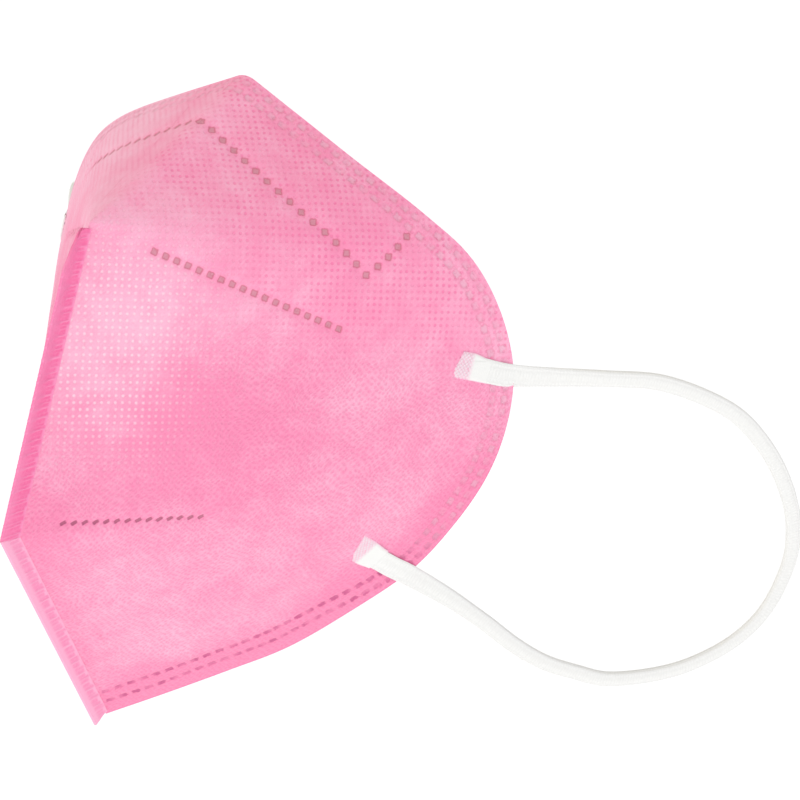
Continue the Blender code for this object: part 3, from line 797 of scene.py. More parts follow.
def mix(tree, share, a, b):
    sockets = [c if isinstance(c, bpy.types.NodeSocket) else (*c, 1.0) for c in (a, b)]
    return node(tree, "Mix", {0: share, 6: sockets[0], 7: sockets[1]}, data_type="RGBA").outputs[2]


def mark(tree, name):
    return node(tree, "Attribute", attribute_name=name).outputs["Fac"]


def noise(tree, vector, size, detail=2.0):
    inputs = {"Vector": vector, "Scale": size, "Detail": detail, "Roughness": 0.55}
    return node(tree, "TexNoise", inputs).outputs[0]


def mapped(tree, vector, turn, scale):
    """Flat places turned so that a line at this angle runs along X, then scaled."""
    inputs = {"Vector": vector, "Rotation": (0.0, 0.0, turn), "Scale": (1.0 / scale[0], 1.0 / scale[1], 1.0)}
    return node(tree, "Mapping", inputs, vector_type="TEXTURE").outputs[0]


def cells(tree, vector, randomness):
    inputs = {"Vector": vector, "Scale": 1.0, "Randomness": randomness}
    return node(tree, "TexVoronoi", inputs, voronoi_dimensions="2D").outputs["Distance"]


def bump(tree, shader, height, distance, strength):
    inputs = {"Strength": strength, "Distance": distance, "Height": height}
    made = node(tree, "Bump", inputs)
    tree.links.new(made.outputs[0], shader.inputs["Normal"])


def square_marks(tree, name):
    """Distance from the border of the nearest mark, as in mark_distance."""
    sides = []
    for axis in ("along", "across"):
        beyond = maths(tree, "SUBTRACT", mark(tree, f"{name}_{axis}"), 1.0 - MARK_CORNER)
        sides.append(maths(tree, "POWER", maths(tree, "MAXIMUM", beyond, 0.0), 2.0))
    reach = maths(tree, "SQRT", maths(tree, "ADD", *sides))
    return maths(tree, "SUBTRACT", reach, MARK_CORNER)


def outer_material(fabric, weld):
    """Pink spunbond: embossed dots, the pale ones painted glints, cloudy fibre colour over a depth mark carrying
    painted light and shade, and fused marks.
    """
    material, tree, shader = new_material("pink_nonwoven", roughness=0.8, sheen=0.12)
    flat = flat_cloth(tree)
    per_pitch = FLAT_SPAN / fabric.dot_pitch
    fibre = noise(tree, mapped(tree, flat, FIBRE_TILT, FIBRES), 1.0, 3.0)
    grain = noise(tree, flat, 420.0, 1.0)
    clouds = (
        (noise(tree, flat, 5.0, 3.0), 0.85), (noise(tree, flat, 24.0, 3.0), 0.6), (fibre, 0.6), (grain, 0.5),
    )
    # Depth mark: the cloth's cloudy colour together with painted light and shade
    depth = mark(tree, "tone_and_shade")
    for cloud, weight in clouds:
        swing = times(tree, maths(tree, "SUBTRACT", cloud, 0.5), weight)
        depth = maths(tree, "ADD", depth, swing)
    colour = mix(tree, ramp(tree, depth, 0.0, 1.0), fabric.light, fabric.deep)

    spacing = mapped(tree, flat, DOT_ROW_TILT, (per_pitch, per_pitch))
    dots = ramp(tree, cells(tree, spacing, 0.08), 0.14, 0.32, 1.0, 0.0)
    patchy = ramp(tree, noise(tree, flat, 34.0, 1.0), 0.2, 0.5)
    clumps = ramp(tree, noise(tree, flat, 11.0, 2.0), 0.36, 0.6, 0.35, 1.0)
    dots = times(tree, dots, patchy)
    glint = mark(tree, "glint")
    weave = mark(tree, "weave")
    open_dots = maths(tree, "SUBTRACT", maths(tree, "SUBTRACT", 1.0, glint), weave)
    dark_dots = times(tree, dots, maths(tree, "MAXIMUM", open_dots, 0.0))
    painted_glint_dots = times(tree, dots, maths(tree, "MAXIMUM", glint, 0.0))
    dark_dots = times(tree, dark_dots, clumps)
    colour = mix(tree, times(tree, dark_dots, DARK_DOTS), colour, fabric.dot)
    # Painted glints: pale dots where the lit front catches the light
    colour = mix(tree, times(tree, painted_glint_dots, PAINTED_GLINT_DOTS), colour, fabric.pale)

    wander = node(tree, "TexNoise", {"Vector": flat, "Scale": 9.0, "Detail": 1.0}).outputs["Color"]
    inputs = {0: wander, 1: (WEAVE_BEND, WEAVE_BEND, 0.0), 2: flat}
    bent = node(tree, "VectorMath", inputs, operation="MULTIPLY_ADD").outputs[0]
    weave_scale = [per_pitch * count for count in WEAVE_PER_DOT]
    threads = cells(tree, mapped(tree, bent, WEAVE_TILT, weave_scale), 0.45)
    thread = times(tree, ramp(tree, threads, 0.12, 0.5, 1.0, 0.0), weave)
    colour = mix(tree, times(tree, thread, THREADS), colour, fabric.dot)

    press = mark(tree, "press")
    uneven = ramp(tree, noise(tree, flat, 30.0, 1.0), 0.35, 0.65, 0.35, 1.0)
    ragged = times(tree, maths(tree, "SUBTRACT", noise(tree, flat, 150.0, 2.0), 0.5), RAGGED_RIM)
    rim = maths(tree, "ADD", square_marks(tree, "rim"), ragged)
    share = times(tree, ramp(tree, rim, -0.2, 0.2, 1.0, 0.0), ramp(tree, press, 0.0, 1.0, *WINDOW_SHARE))
    share = times(tree, share, uneven)
    colour = mix(tree, share, colour, mix(tree, press, weld.window, weld.dash))
    line = ramp(tree, maths(tree, "ABSOLUTE", rim), 0.0, 0.45, 0.36, 0.0)
    line = times(tree, line, ramp(tree, press, 0.0, 1.0, *OUTLINE_SHARE))
    colour = mix(tree, times(tree, line, uneven), colour, weld.outline)

    spot = maths(tree, "ADD", square_marks(tree, "spot"), times(tree, ragged, RAGGED_SPOT))
    colour = mix(tree, ramp(tree, spot, 0.0, 1.5, 0.35, 0.0), colour, fabric.deep)
    weld_colour = mix(tree, press, weld.colour, weld.dark)
    colour = mix(tree, ramp(tree, spot, -0.35, 0.3, 0.95, 0.0), colour, weld_colour)
    centre = ramp(tree, spot, -0.45, -0.1, 0.45, 0.0)
    centre = times(tree, centre, ramp(tree, press, 0.0, 1.0, *CENTRE_SHARE))
    colour = mix(tree, centre, colour, weld.window)
    colour = mix(tree, times(tree, mark(tree, "inside"), INSIDE_WHITE), colour, fabric.lining)
    tree.links.new(colour, shader.inputs["Base Color"])

    relief = maths(tree, "ADD", times(tree, fibre, 0.5), times(tree, dots, -0.8))
    relief = maths(tree, "ADD", relief, times(tree, thread, -0.9))
    bump(tree, shader, relief, 0.00025, 0.45)
    return material


def white_material(name, colour, weld, tint):
    """White nonwoven: fibres, embossed dots and fused rim marks."""
    material, tree, shader = new_material(name, roughness=0.85, sheen=0.15)
    flat = flat_cloth(tree)
    cloud = noise(tree, flat, 7.0, 3.0)
    fibre = noise(tree, mapped(tree, flat, FIBRE_TILT, LINING_FIBRES), 1.0, 3.0)
    shade = maths(tree, "ADD", times(tree, cloud, 0.6), times(tree, fibre, 0.4))
    shaded = mix(tree, ramp(tree, shade, 0.3, 0.7), [c * 0.93 for c in colour], colour)
    rows = mapped(tree, flat, DOT_ROW_TILT, LINING_DOTS)
    dots = ramp(tree, cells(tree, rows, 0.06), 0.18, 0.36, 1.0, 0.0)
    shaded = mix(tree, times(tree, dots, 0.25), shaded, tint)
    rim = square_marks(tree, "rim")
    shaded = mix(tree, ramp(tree, rim, -0.1, 0.2, 0.6, 0.0), shaded, tint)
    line = ramp(tree, maths(tree, "ABSOLUTE", rim), 0.0, 0.3, 0.4, 0.0)
    shaded = mix(tree, line, shaded, weld.window)
    tree.links.new(shaded, shader.inputs["Base Color"])
    relief = maths(tree, "ADD", fibre, times(tree, dots, -0.8))
    bump(tree, shader, relief, 0.0002, 0.4)
    return material


def seam_material(name, ridge, stroke):
    """Fused fabric: glossier, with pressed strokes and thin pale ridges."""
    material, tree, shader = new_material(name, roughness=0.62, sheen=0.1)
    flat = flat_cloth(tree)
    blotch = noise(tree, flat, 18.0, 3.0)
    grain = noise(tree, flat, 160.0, 2.0)
    pressed = times(tree, mark(tree, "stroke"), ramp(tree, blotch, 0.25, 0.6, 0.65, 1.0))
    colour = mix(tree, pressed, ridge, stroke)
    colour = mix(tree, ramp(tree, grain, 0.4, 0.75, 0.0, 0.35), colour, ridge)
    tree.links.new(colour, shader.inputs["Base Color"])
    bump(tree, shader, maths(tree, "ADD", grain, blotch), 0.00015, 0.35)
    return material


def band_material(band):
    """White knitted elastic: fine wales along it and courses across."""
    material, tree, shader = new_material("knitted_elastic", roughness=0.9, sheen=0.2)
    flat = flat_cloth(tree)
    stitches = cells(tree, mapped(tree, flat, 0.0, STITCHES), 0.25)
    fuzz = noise(tree, flat, 320.0, 2.0)
    stitch = ramp(tree, stitches, 0.1, 0.6)
    colour = mix(tree, times(tree, stitch, 0.5), band.colour, [c * 0.92 for c in band.colour])
    colour = mix(tree, ramp(tree, fuzz, 0.45, 0.8, 0.0, 0.3), colour, (0.97, 0.97, 0.97))
    tree.links.new(colour, shader.inputs["Base Color"])
    bump(tree, shader, maths(tree, "ADD", times(tree, stitch, -1.0), fuzz), 0.0002, 0.3)
    return material


def tab_material(band, fabric):
    """Fused elastic: white threads pressed into pink."""
    material, tree, shader = new_material("fused_tab", roughness=0.7, sheen=0.1)
    flat = flat_cloth(tree)
    blotch = noise(tree, flat, 60.0, 2.0)
    grain = noise(tree, flat, 300.0, 2.0)
    imprint = mark(tree, "imprint")
    colour = mix(tree, times(tree, imprint, 0.75), band.colour, band.tint)
    colour = mix(tree, times(tree, mark(tree, "stroke"), 0.4), colour, fabric.deep)
    stain = times(tree, imprint, ramp(tree, blotch, 0.56, 0.75, 0.0, 0.5))
    colour = mix(tree, stain, colour, fabric.deep)
    colour = mix(tree, times(tree, mark(tree, "edge"), 0.75), colour, fabric.light)
    tree.links.new(colour, shader.inputs["Base Color"])
    bump(tree, shader, grain, 0.00015, 0.4)
    return material


def clip_material():
    """Brushed aluminium strip."""
    material, tree, shader = new_material("brushed_aluminium", roughness=0.34, metallic=1.0)
    place_of = node(tree, "TexCoord").outputs["Object"]
    brushed = noise(tree, mapped(tree, place_of, 0.0, BRUSH_LINES), 1.0, 3.0)
    colour = mix(tree, brushed, (0.62, 0.63, 0.65), (0.82, 0.83, 0.84))
    tree.links.new(colour, shader.inputs["Base Color"])
    tree.links.new(ramp(tree, brushed, 0.2, 0.8, 0.28, 0.45), shader.inputs["Roughness"])
    bump(tree, shader, brushed, 0.00005, 0.2)
    return material


def floor_material(stage):
    material, tree, shader = new_material("pale_floor", roughness=0.9)
    place_of = node(tree, "TexCoord").outputs["Object"]
    shade = ramp(tree, noise(tree, place_of, 3.0, 2.0), 0.3, 0.7)
    colour = mix(tree, shade, stage.floor, [c * 0.985 for c in stage.floor])
    tree.links.new(colour, shader.inputs["Base Color"])
    shader.inputs["Emission Color"].default_value = (1.0, 1.0, 1.0, 1.0)
    shader.inputs["Emission Strength"].default_value = stage.floor_glow
    return material


def known(name, make):
    """A material by name, made at its first use."""
    return bpy.data.materials.get(name) or make()


# Operators


def aimed(name, kind, place_at, target):
    """A light or camera object at a place, looking at a target."""
    made = bpy.data.objects.new(name, kind)
    look = Vector(target) - Vector(place_at)
    made.matrix_world = Matrix.Translation(place_at) @ look.to_track_quat("-Z", "Y").to_matrix().to_4x4()
    bpy.context.scene.collection.objects.link(made)
    return made


class RESPIRATOR_OT_stage(Operator):
    """Camera, pale floor and soft light"""

    bl_idname = "respirator.stage"
    bl_label = "Studio"

    def execute(self, context):
        scene = context.scene
        stage = scene.respirator_stage
        scene.view_settings.view_transform = "Standard"
        camera = bpy.data.objects.new("camera", bpy.data.cameras.new("camera"))
        camera.data.lens = stage.lens
        camera.data.sensor_width = SENSOR_WIDTH
        camera.data.sensor_fit = "HORIZONTAL"
        camera.data.dof.use_dof = False
        axes = Matrix((CAMERA_RIGHT, CAMERA_UP, -Vector(CAMERA_AHEAD))).transposed().to_4x4()
        camera.matrix_world = Matrix.Translation(CAMERA_PLACE) @ axes
        scene.collection.objects.link(camera)
        scene.camera = camera

        bm = bmesh.new()
        bmesh.ops.create_grid(bm, x_segments=3, y_segments=3, size=FLOOR_REACH)
        for vert in bm.verts:
            vert.co.z = CHIN_TIP[1] - stage.drop
            if max(abs(vert.co.x), abs(vert.co.y)) > FLOOR_REACH / 2:
                vert.co.z += FLOOR_RISE
            for axis in (0, 1):
                if abs(vert.co[axis]) < FLOOR_REACH / 2:
                    vert.co[axis] = math.copysign(FLOOR_FLAT, vert.co[axis])
        place("floor", bm, floor_material(stage))

        world = bpy.data.worlds.new("studio")
        world.use_nodes = True
        sky = world.node_tree.nodes["Background"]
        sky.inputs["Color"].default_value = (1.0, 1.0, 1.0, 1.0)
        sky.inputs["Strength"].default_value = stage.sky
        scene.world = world
        lights = (
            ("key", KEY_PLACE, stage.key, stage.key_tint), ("fill", FILL_PLACE, stage.fill, stage.fill_tint),
        )
        for name, place_at, power, tint in lights:
            light = bpy.data.lights.new(name, "AREA")
            light.energy = power
            light.color = tint
            light.size = LIGHT_SIZE
            aimed(name, light, place_at, (0.0, 0.0, 0.0))
        return {"FINISHED"}


def band_line():
    """Ring centres of the left ear band, its normals and how far each is from the nearer tab."""
    line = smooth_through(BAND_ROUTE, BAND_STEPS)
    run = run_along(line)
    places = np.linspace(0.0, run[-1], int(run[-1] / BAND_RING) + 1)
    centres = at_run(line, run, places)
    ends = np.minimum(places, run[-1] - places)[:, None]
    first, last = BAND_ROUTE[0], BAND_ROUTE[-1]
    upper = (places < run[-1] / 2)[:, None]
    tabs = np.where(upper, surface_normal(first[1:]), surface_normal(last[1:]))
    shift = np.where(upper, lift(first[1:], -BAND_HEIGHT) - first, lift(last[1:], -BAND_HEIGHT) - last)
    spread = np.linalg.svd(BAND_ROUTE - BAND_ROUTE.mean(0))[2][2]
    normal = unit(tabs + (spread * np.sign(spread[0]) - tabs) * smoothstep(*BAND_TURN, ends))
    return centres + shift * (1.0 - smoothstep(*BAND_SETTLE, ends)), normal, ends


class RESPIRATOR_OT_ear_bands(Operator):
    """Knitted elastic ear bands, flat where they leave their tabs"""

    bl_idname = "respirator.ear_bands"
    bl_label = "Ear bands"

    def execute(self, context):
        band = context.scene.respirator_band
        material = known("knitted_elastic", lambda: band_material(band))
        centres, normal, ends = band_line()
        ahead = unit(np.gradient(centres, axis=0))
        across = unit(np.cross(normal, ahead))
        up = np.cross(ahead, across)
        full = smoothstep(*BAND_SWELL, ends)
        width = band.end_width + (band.width - band.end_width) * full
        thick = band.end_thickness + (band.thickness - band.end_thickness) * full
        thick = thick * (BAND_THIN + (1.0 - BAND_THIN) * smoothstep(0.0, BAND_FEATHER, ends))
        angle = np.linspace(0.0, 2.0 * math.pi, BAND_SIDES, endpoint=False)[None]
        round_side = np.sign(np.cos(angle)) * np.abs(np.cos(angle)) ** BAND_EDGE
        round_top = np.sign(np.sin(angle)) * np.abs(np.sin(angle)) ** BAND_CROWN
        rib = band.rib * np.cos(round_side * math.pi * BAND_RIBS) * np.sign(round_top)
        sideways = (round_side * width / 2)[..., None] * across[:, None]
        upward = (round_top * thick / 2 + rib)[..., None] * up[:, None]
        rings = centres[:, None] + sideways + upward
        run = run_along(centres)
        flat = np.stack(np.broadcast_arrays(angle * band.width / 4, run[:, None]), -1)
        for word, sign in SIDES:
            mirror = np.array((sign, 1.0, 1.0))
            made = place(f"{word}_ear_band", tube_mesh(rings * mirror, flat, {}), material)
            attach(made, f"{word}_loop")
            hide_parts(f"{word}_ear_loop")
        return {"FINISHED"}


class RESPIRATOR_OT_tabs(Operator):
    """Fused ends of the ear bands, pressed with a diamond knurl"""

    bl_idname = "respirator.tabs"
    bl_label = "Weld tabs"

    def execute(self, context):
        scene = context.scene
        band = scene.respirator_band
        material = known("fused_tab", lambda: tab_material(band, scene.respirator_fabric))
        t, v = np.meshgrid(
            np.linspace(0.0, 1.0, int(band.tab_length / TAB_STEP)),
            np.linspace(-0.5, 0.5, int(band.tab_width / TAB_STEP)) * band.tab_width,
        )
        ends = (
            ("upper", UPPER_TAB, UPPER_TAB_TURN, UPPER_TAB_CUT, UPPER_TAB_SHIFT, UPPER_TAB_DROP),
            ("lower", LOWER_TAB, LOWER_TAB_TURN, LOWER_TAB_CUT, LOWER_TAB_SHIFT, LOWER_TAB_DROP),
        )
        narrow = smoothstep(TAB_NARROW_START, 1.0, t)
        for end, middle, turn, cut, shift, drop in ends:
            left = cut[0] + cut[1] * v + TAB_ROUND * smoothstep(*TAB_ROUND_SPAN, v / band.tab_width)
            u = left + (TAB_END - left) * t
            local = np.stack((u, v * (1.0 - TAB_NARROW * narrow) + drop * narrow + shift), -1)
            lean = np.array((math.cos(CHEEK_OPENING), 1.0))
            p = middle + turned(local, turn) * lean
            knurl = [np.abs(np.cos((u + way * v) * math.pi / band.tab_pitch)) for way in (1, -1)]
            imprint = 1.0 - smoothstep(*TAB_IMPRINT, u)
            pressed = imprint * (1.0 - smoothstep(*KNURL_EDGE, knurl[0]) * smoothstep(*KNURL_EDGE, knurl[1]))
            border = np.minimum(np.minimum(u - left, TAB_END - u), band.tab_width / 2 - np.abs(v))
            rise = TAB_LOW + (1.0 - TAB_LOW) * smoothstep(*TAB_BAND, u)
            crown = smoothstep(-TAB_BORDER / 4, TAB_BORDER, border) * rise
            height = TAB_FOOT + band.tab_thickness * crown - TAB_PRESS * pressed
            points = lift(p, -height)
            marks = {"stroke": pressed, "imprint": imprint, "edge": 1.0 - smoothstep(*TAB_PINK_EDGE, border)}
            for word, sign in SIDES:
                order = slice(None, None, int(sign))
                mirror = np.array((sign, 1.0, 1.0))
                bm = grid_mesh(points[order] * mirror, local[order], {k: m[order] for k, m in marks.items()})
                bmesh.ops.solidify(bm, geom=bm.faces[:], thickness=TAB_FOOT)
                made = place(f"{word}_{end}_tab", bm, material)
                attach(made, f"{word}_cheek")
                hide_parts(f"{word}_{end}_loop_tab")
        return {"FINISHED"}


def outer_marks(part, p, flat, weld):
    """Vertex marks of the outer fabric: emboss regions, among them the region of painted glints on the dots, dark
    welds and places in the weld marks.
    """
    glint = np.clip(soft_patches(p, GLINT_PATCHES), 0.0, 1.0)
    weave = (1.0 - smoothstep(*EMBOSS_HEIGHT, p[..., 1])) * (1.0 - glint)
    marks = {"glint": glint, "weave": weave, "press": smoothstep(*DARK_MARKS, p[..., 1])}
    for name, found in (("rim", rim_marks(part, weld)), ("spot", spot_marks(part, weld))):
        places = mark_places(flat, *found)
        marks[f"{name}_along"], marks[f"{name}_across"] = places[..., 0], places[..., 1]
    return marks


def pressed_in(marks, weld):
    """How far the weld marks press the fabric in."""
    rim = mark_distance(np.stack((marks["rim_along"], marks["rim_across"]), -1))
    spot = mark_distance(np.stack((marks["spot_along"], marks["spot_across"]), -1))
    dent = weld.depth * (1.0 - smoothstep(*DENT_EDGE, np.minimum(rim, spot)))
    return dent + weld.dimple * np.exp(-((np.maximum(spot, 0.0) / DIMPLE_REACH) ** 2))


def mirrored_strip(name, half_points, thickness, flat, marks, material):
    """A strip over the middle plane: a left half, rows along it and columns outwards, and its mirror."""
    mirror = np.array((-1.0, 1.0, 1.0))
    both = [np.concatenate((grid[:, :0:-1], grid), 1) for grid in (flat, *marks.values())]
    points = np.concatenate(((half_points * mirror)[:, :0:-1], half_points), 1)
    bm = grid_mesh(points, both[0], dict(zip(marks, both[1:])))
    bmesh.ops.remove_doubles(bm, verts=bm.verts[:], dist=MERGE)
    area = sum(face.calc_area() for face in bm.faces)
    if sum((face.normal * face.calc_area() for face in bm.faces), Vector()).y > 0:
        bmesh.ops.reverse_faces(bm, faces=bm.faces[:])
    thicken(bm, thickness)
    made = place(name, bm, material)
    return made


def strip_patches(edge, pitch):
    """Left halves of the three strips: (name, body, grid of (back, up) points)."""
    upper, lower, nose_run, chin_run = edge
    count = int(FRONT_LENGTH / pitch)
    front = patch(np.linspace(NOSE_CORNER, FRONT_CORNER, count), np.linspace(upper, lower, count), pitch)
    nose_runs = np.linspace(0.0, nose_run, int(nose_run / pitch) + 2)
    chin_runs = np.linspace(RIM_RUN[-1], chin_run, int((RIM_RUN[-1] - chin_run) / pitch) + 2)
    return (
        ("front", "spine", front),
        ("nose", "nose_ridge", fan_strip(BRIDGE, NOSE_CORNER, upper, nose_runs, pitch)),
        ("chin", "chin_ridge", fan_strip(CHIN_TIP, FRONT_CORNER, lower, chin_runs, pitch)),
    )


def fan_strip(tip, corner, hinge, runs, pitch):
    """Grid from a fold, corner to tip, out to a layer's edge, hinge to rim, with rows along the fold."""
    share = np.linspace(0.0, 1.0, len(runs))[:, None]
    near = corner + (hinge - corner) * share
    far = rim_at(runs)
    far = far + (tip - far[0]) * (1.0 - share)
    grid = patch(near, far, pitch)
    return np.swapaxes(grid, 0, 1)


class RESPIRATOR_OT_outer(Operator):
    """Pink outer fabric of both halves and the strips over their folds"""

    bl_idname = "respirator.outer"
    bl_label = "Outer fabric"

    def execute(self, context):
        scene = context.scene
        fabric, weld = scene.respirator_fabric, scene.respirator_weld
        material = known("pink_nonwoven", lambda: outer_material(fabric, weld))
        edge = layer_edge(0.0)
        for part in ("upper", "lower"):
            p, runs = half_grid(part, edge, 0.0, fabric.row_pitch, fabric.column_pitch, HEM_PITCH)
            flat = flat_place(part, p)
            marks = outer_marks(part, p, flat, weld)
            height = fabric.wave * slow_waves(flat) * edge_fade(p, runs) - pressed_in(marks, weld)
            points = lift(p, -height)
            for word, sign in SIDES:
                # Depth of the pink for each side, with painted light and shade in its patches
                marks["tone_and_shade"] = fabric_tone(part, p, flat, sign)
                cloth_piece(
                    f"{word}_{part}_outer", points, OUTER_THICKNESS, flat, marks, material,
                    part, sign, panel_nodes(word, part, "outer"),
                )
        for name, body, p in strip_patches(edge, STRIP_PITCH):
            part = "lower" if name == "chin" else "upper"
            flat = flat_place(part, p)
            marks = outer_marks(part, p, flat, weld)
            marks["tone_and_shade"] = fabric_tone(part, p, flat, 1.0)
            points = lift(p, pressed_in(marks, weld))
            if name == "nose":
                points = points + rounded_ridge(p, fabric.ridge_radius)
            points[:, 0, 0] = 0.0
            made = mirrored_strip(f"{name}_strip_outer", points, OUTER_THICKNESS, flat, marks, material)
            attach(made, body)
            if name == "nose":
                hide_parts("nose_fold")
        return {"FINISHED"}


class RESPIRATOR_OT_linings(Operator):
    """White fabric on the face side, fused to the outer one along the rim"""

    bl_idname = "respirator.linings"
    bl_label = "Linings"

    def execute(self, context):
        scene = context.scene
        fabric, weld = scene.respirator_fabric, scene.respirator_weld
        name = "white_lining"
        material = known(name, lambda: white_material(name, fabric.lining, weld, weld.tint))
        edge = layer_edge(LINING_SETBACK)
        for part in ("upper", "lower"):
            p, _ = half_grid(part, edge, LINING_RIM_GAP, LINING_PITCH, LINING_PITCH, LINING_PITCH)
            flat = flat_place(part, p)
            places = mark_places(flat, *rim_marks(part, weld))
            marks = {"rim_along": places[..., 0], "rim_across": places[..., 1]}
            depth = lining_depth(part, edge, p, flat, weld)
            for word, sign in SIDES:
                cloth_piece(
                    f"{word}_{part}_lining", lift(p, depth), LINING_THICKNESS, flat, marks, material,
                    part, sign, panel_nodes(word, part, "lining"),
                )
        return {"FINISHED"}


def lining_depth(part, edge, p, flat, weld):
    """Depth of the lining: fused to the outer fabric at rim and folds, free further in."""
    away = rim_away(part, flat)
    chin = smoothstep(*LINING_CHANGE, p[..., 1])
    start, finish = (n + (c - n) * chin for n, c in zip(NOSE_LINING_RISE, CHIN_LINING_RISE))
    fused = EDGE_LINING_DEPTH + (FUSED_LINING_DEPTH - EDGE_LINING_DEPTH) * smoothstep(*LINING_PRESS, away)
    free = fused + (LINING_DEPTH - FUSED_LINING_DEPTH) * smoothstep(start, finish, away)
    depth = EDGE_LINING_DEPTH + (free - EDGE_LINING_DEPTH) * fold_rise(part, edge, flat)
    spot = mark_distance(mark_places(flat, *spot_marks(part, weld)))
    dent = (weld.depth + weld.dimple) * (1.0 - smoothstep(*LINING_SPOTS, spot))
    return np.maximum(depth, OUTER_THICKNESS + LINING_CLEAR + dent)


class RESPIRATOR_OT_filling(Operator):
    """Filter and cotton sheets between outer fabric and lining"""

    bl_idname = "respirator.filling"
    bl_label = "Filter and cotton"

    def execute(self, context):
        scene = context.scene
        fabric, weld = scene.respirator_fabric, scene.respirator_weld
        edge = layer_edge(FILLING_SETBACK)
        kinds = (
            ("filter", FILTER_DEPTH, FILTER_THICKNESS, FILTER_RIM_GAP),
            ("cotton", COTTON_DEPTH, COTTON_THICKNESS, COTTON_RIM_GAP),
        )
        for layer, depth, thickness, rim_gap in kinds:
            name = f"white_{layer}"
            material = known(name, lambda: white_material(name, fabric.inner, weld, fabric.lining))
            for part in ("upper", "lower"):
                p, _ = half_grid(part, edge, rim_gap, FILLING_PITCH, FILLING_PITCH, FILLING_PITCH)
                flat = flat_place(part, p)
                for word, sign in SIDES:
                    cloth_piece(
                        f"{word}_{part}_{layer}", lift(p, depth), thickness, flat, {}, material,
                        part, sign, panel_nodes(word, part, layer),
                    )
        return {"FINISHED"}


def fin_rings(start, end, normal, width, tips, seam, strokes):
    """Rings of a fin that stands out from a fold, from its start to its end, and their stroke marks."""
    along = unit(end - start)
    length = float(np.linalg.norm(end - start))
    out = np.concatenate((np.linspace(-FIN_ROOT, width, FIN_ACROSS), (width + seam.thickness * FIN_EDGE,)))
    share = np.clip(out / width, 0.0, 1.0)
    taper = np.clip((share - FIN_TAPER_START) / (1.0 - FIN_TAPER_START), 0.0, 1.0) ** FIN_TAPER_CURVE
    begin = tips[0] * share + tips[1] + tips[4] * taper
    finish = length + tips[2] * share - tips[3]
    places = begin + (finish - begin) * np.linspace(0.0, 1.0, int(length / FIN_STEP))[:, None]
    stroke = strokes(places, np.broadcast_to(out, places.shape))
    half = seam.thickness / 2 * np.concatenate((np.linspace(1.0, FIN_THIN, FIN_ACROSS), (FIN_THIN / 3,)))
    half = half - seam.depth * stroke
    centre = start + along * places[..., None] - normal * out[:, None]
    left = np.concatenate((half[..., None], centre), -1)
    right = left[:, ::-1] * np.array((-1.0, 1.0, 1.0))
    flat = np.stack((np.broadcast_to(out, places.shape), places), -1)
    return (
        np.concatenate((left, right), 1),
        np.concatenate((flat, flat[:, ::-1]), 1),
        np.concatenate((stroke, stroke[:, ::-1]), 1),
    )


def comb(width, pitch, slant, fade):
    """Pressed strokes across a fin, uneven as welds are: 1 in a stroke, 0 on the ridge between two."""

    def strokes(places, out):
        turns = (places + out * slant) / pitch
        turns = turns + COMB_WANDER * np.sin(COMB_DRIFT * turns + COMB_DRIFT_START) * np.sin(COMB_SLOW_DRIFT * turns)
        middle = 1.0 - np.abs(turns % 1.0 - 0.5) * 2.0
        ridge = (1.0 - smoothstep(COMB_RIDGE, COMB_RIDGE + COMB_EDGE, middle)) * (
            RIDGE_MEAN + RIDGE_SWING * np.sin(RIDGE_CHANGE * np.round(turns) + RIDGE_FIRST)
        )
        uneven = 0.5 + 0.5 * np.sin(START_CHANGE * np.floor(turns))
        start = COMB_RAGGED[0] + (COMB_RAGGED[1] - COMB_RAGGED[0]) * uneven
        inside = smoothstep(start, start + COMB_START, out)
        outside = 1.0 - fade[2] * smoothstep(fade[0], fade[1], out / width)
        return (1.0 - ridge) * inside * outside

    return strokes


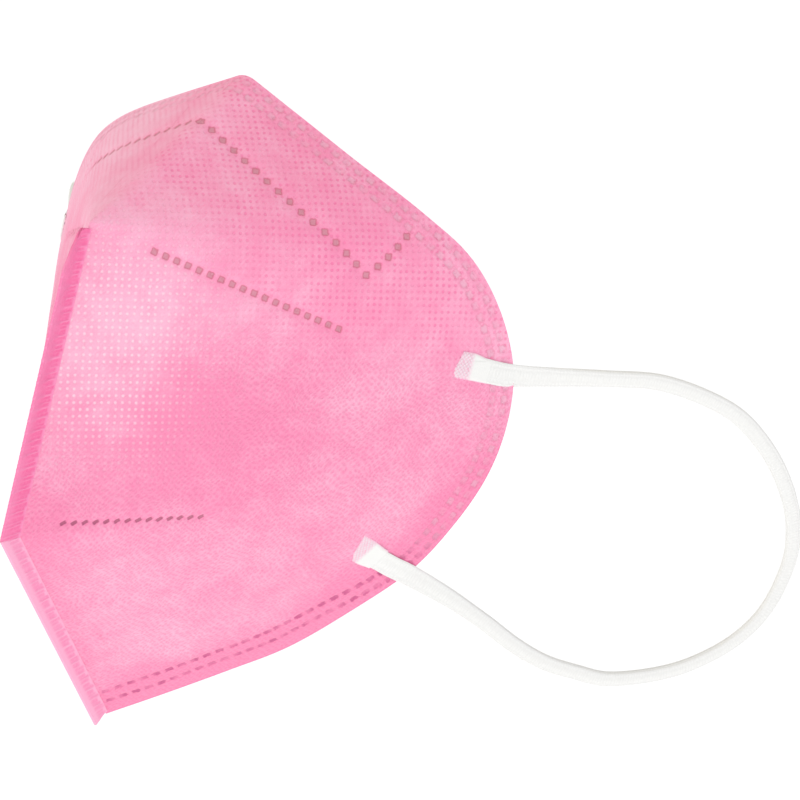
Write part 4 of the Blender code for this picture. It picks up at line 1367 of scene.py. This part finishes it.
class RESPIRATOR_OT_seams(Operator):
    """Fused fins of the front and chin seams, with pressed strokes"""

    bl_idname = "respirator.seams"
    bl_label = "Seam fins"

    def execute(self, context):
        seam = context.scene.respirator_seam
        front = unit(FRONT_CORNER - NOSE_CORNER)
        chin = unit(CHIN_TIP - FRONT_CORNER)
        corner = meet(
            NOSE_CORNER - CHEEK_IN * seam.front_width, front, CHIN_TIP - CHIN_IN * seam.chin_width, chin
        )
        past_front = float((corner - FRONT_CORNER) @ front)
        past_chin = float((corner - FRONT_CORNER) @ chin)

        fins = (
            ("front_seam", "spine", (NOSE_CORNER, FRONT_CORNER, CHEEK_IN), seam.front_width,
             (0.0, FIN_TOP_CUT, past_front, 0.0, FIN_TAPER),
             comb(seam.front_width, seam.pitch, FRONT_SLANT, FRONT_FADE), (seam.colour, seam.stroke)),
            ("chin_seam", "chin_ridge", (FRONT_CORNER, CHIN_TIP, CHIN_IN), seam.chin_width,
             (past_chin, 0.0, 0.0, CHIN_TIP_CUT, 0.0),
             comb(seam.chin_width, seam.pitch * CHIN_PITCH, CHIN_SLANT, CHIN_FADE),
             (seam.chin_colour, seam.chin_stroke)),
        )
        for name, body, fold, width, tips, strokes, colours in fins:
            rings, flat, stroke = fin_rings(*fold, width, tips, seam, strokes)
            material = known(f"fused_{name}", lambda: seam_material(f"fused_{name}", *colours))
            made = place(f"{name}_fin", tube_mesh(rings, flat, {"stroke": stroke}), material)
            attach(made, body)
            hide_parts(name)
        return {"FINISHED"}


class RESPIRATOR_OT_clips(Operator):
    """Brushed finish on the nose clip arms of the frame"""

    bl_idname = "respirator.clips"
    bl_label = "Nose clips"

    def execute(self, context):
        material = known("brushed_aluminium", clip_material)
        for word, _ in SIDES:
            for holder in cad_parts[f"{word}_nose_clip"].material_slots:
                holder.material = material
        return {"FINISHED"}


class RESPIRATOR_PT_panel(Panel):
    """Pieces of the mask, in the order they are made"""

    bl_label = "Respirator mask"
    bl_idname = "RESPIRATOR_PT_panel"
    bl_space_type = "VIEW_3D"
    bl_region_type = "UI"
    bl_category = "Mask"

    def draw(self, context):
        for operator in OPERATORS:
            self.layout.operator(operator.bl_idname)


OPERATORS = (
    RESPIRATOR_OT_stage, RESPIRATOR_OT_ear_bands, RESPIRATOR_OT_tabs, RESPIRATOR_OT_outer,
    RESPIRATOR_OT_seams, RESPIRATOR_OT_linings, RESPIRATOR_OT_filling, RESPIRATOR_OT_clips,
)
SETTINGS = {
    "respirator_stage": StageSettings, "respirator_band": BandSettings, "respirator_fabric": FabricSettings,
    "respirator_weld": WeldSettings, "respirator_seam": SeamSettings,
}


def register():
    for group in SETTINGS.values():
        bpy.utils.register_class(group)
    for name, group in SETTINGS.items():
        setattr(bpy.types.Scene, name, PointerProperty(type=group))
    for operator in OPERATORS:
        bpy.utils.register_class(operator)
    bpy.utils.register_class(RESPIRATOR_PT_panel)


def unregister():
    bpy.utils.unregister_class(RESPIRATOR_PT_panel)
    for operator in reversed(OPERATORS):
        bpy.utils.unregister_class(operator)
    for name, group in SETTINGS.items():
        delattr(bpy.types.Scene, name)
        bpy.utils.unregister_class(group)


def main():
    register()
    bpy.ops.respirator.stage()
    bpy.ops.respirator.ear_bands()
    bpy.ops.respirator.tabs()
    bpy.ops.respirator.outer()
    bpy.ops.respirator.seams()
    bpy.ops.respirator.linings()
    bpy.ops.respirator.filling()
    bpy.ops.respirator.clips()


if __name__ == "__main__":
    main()
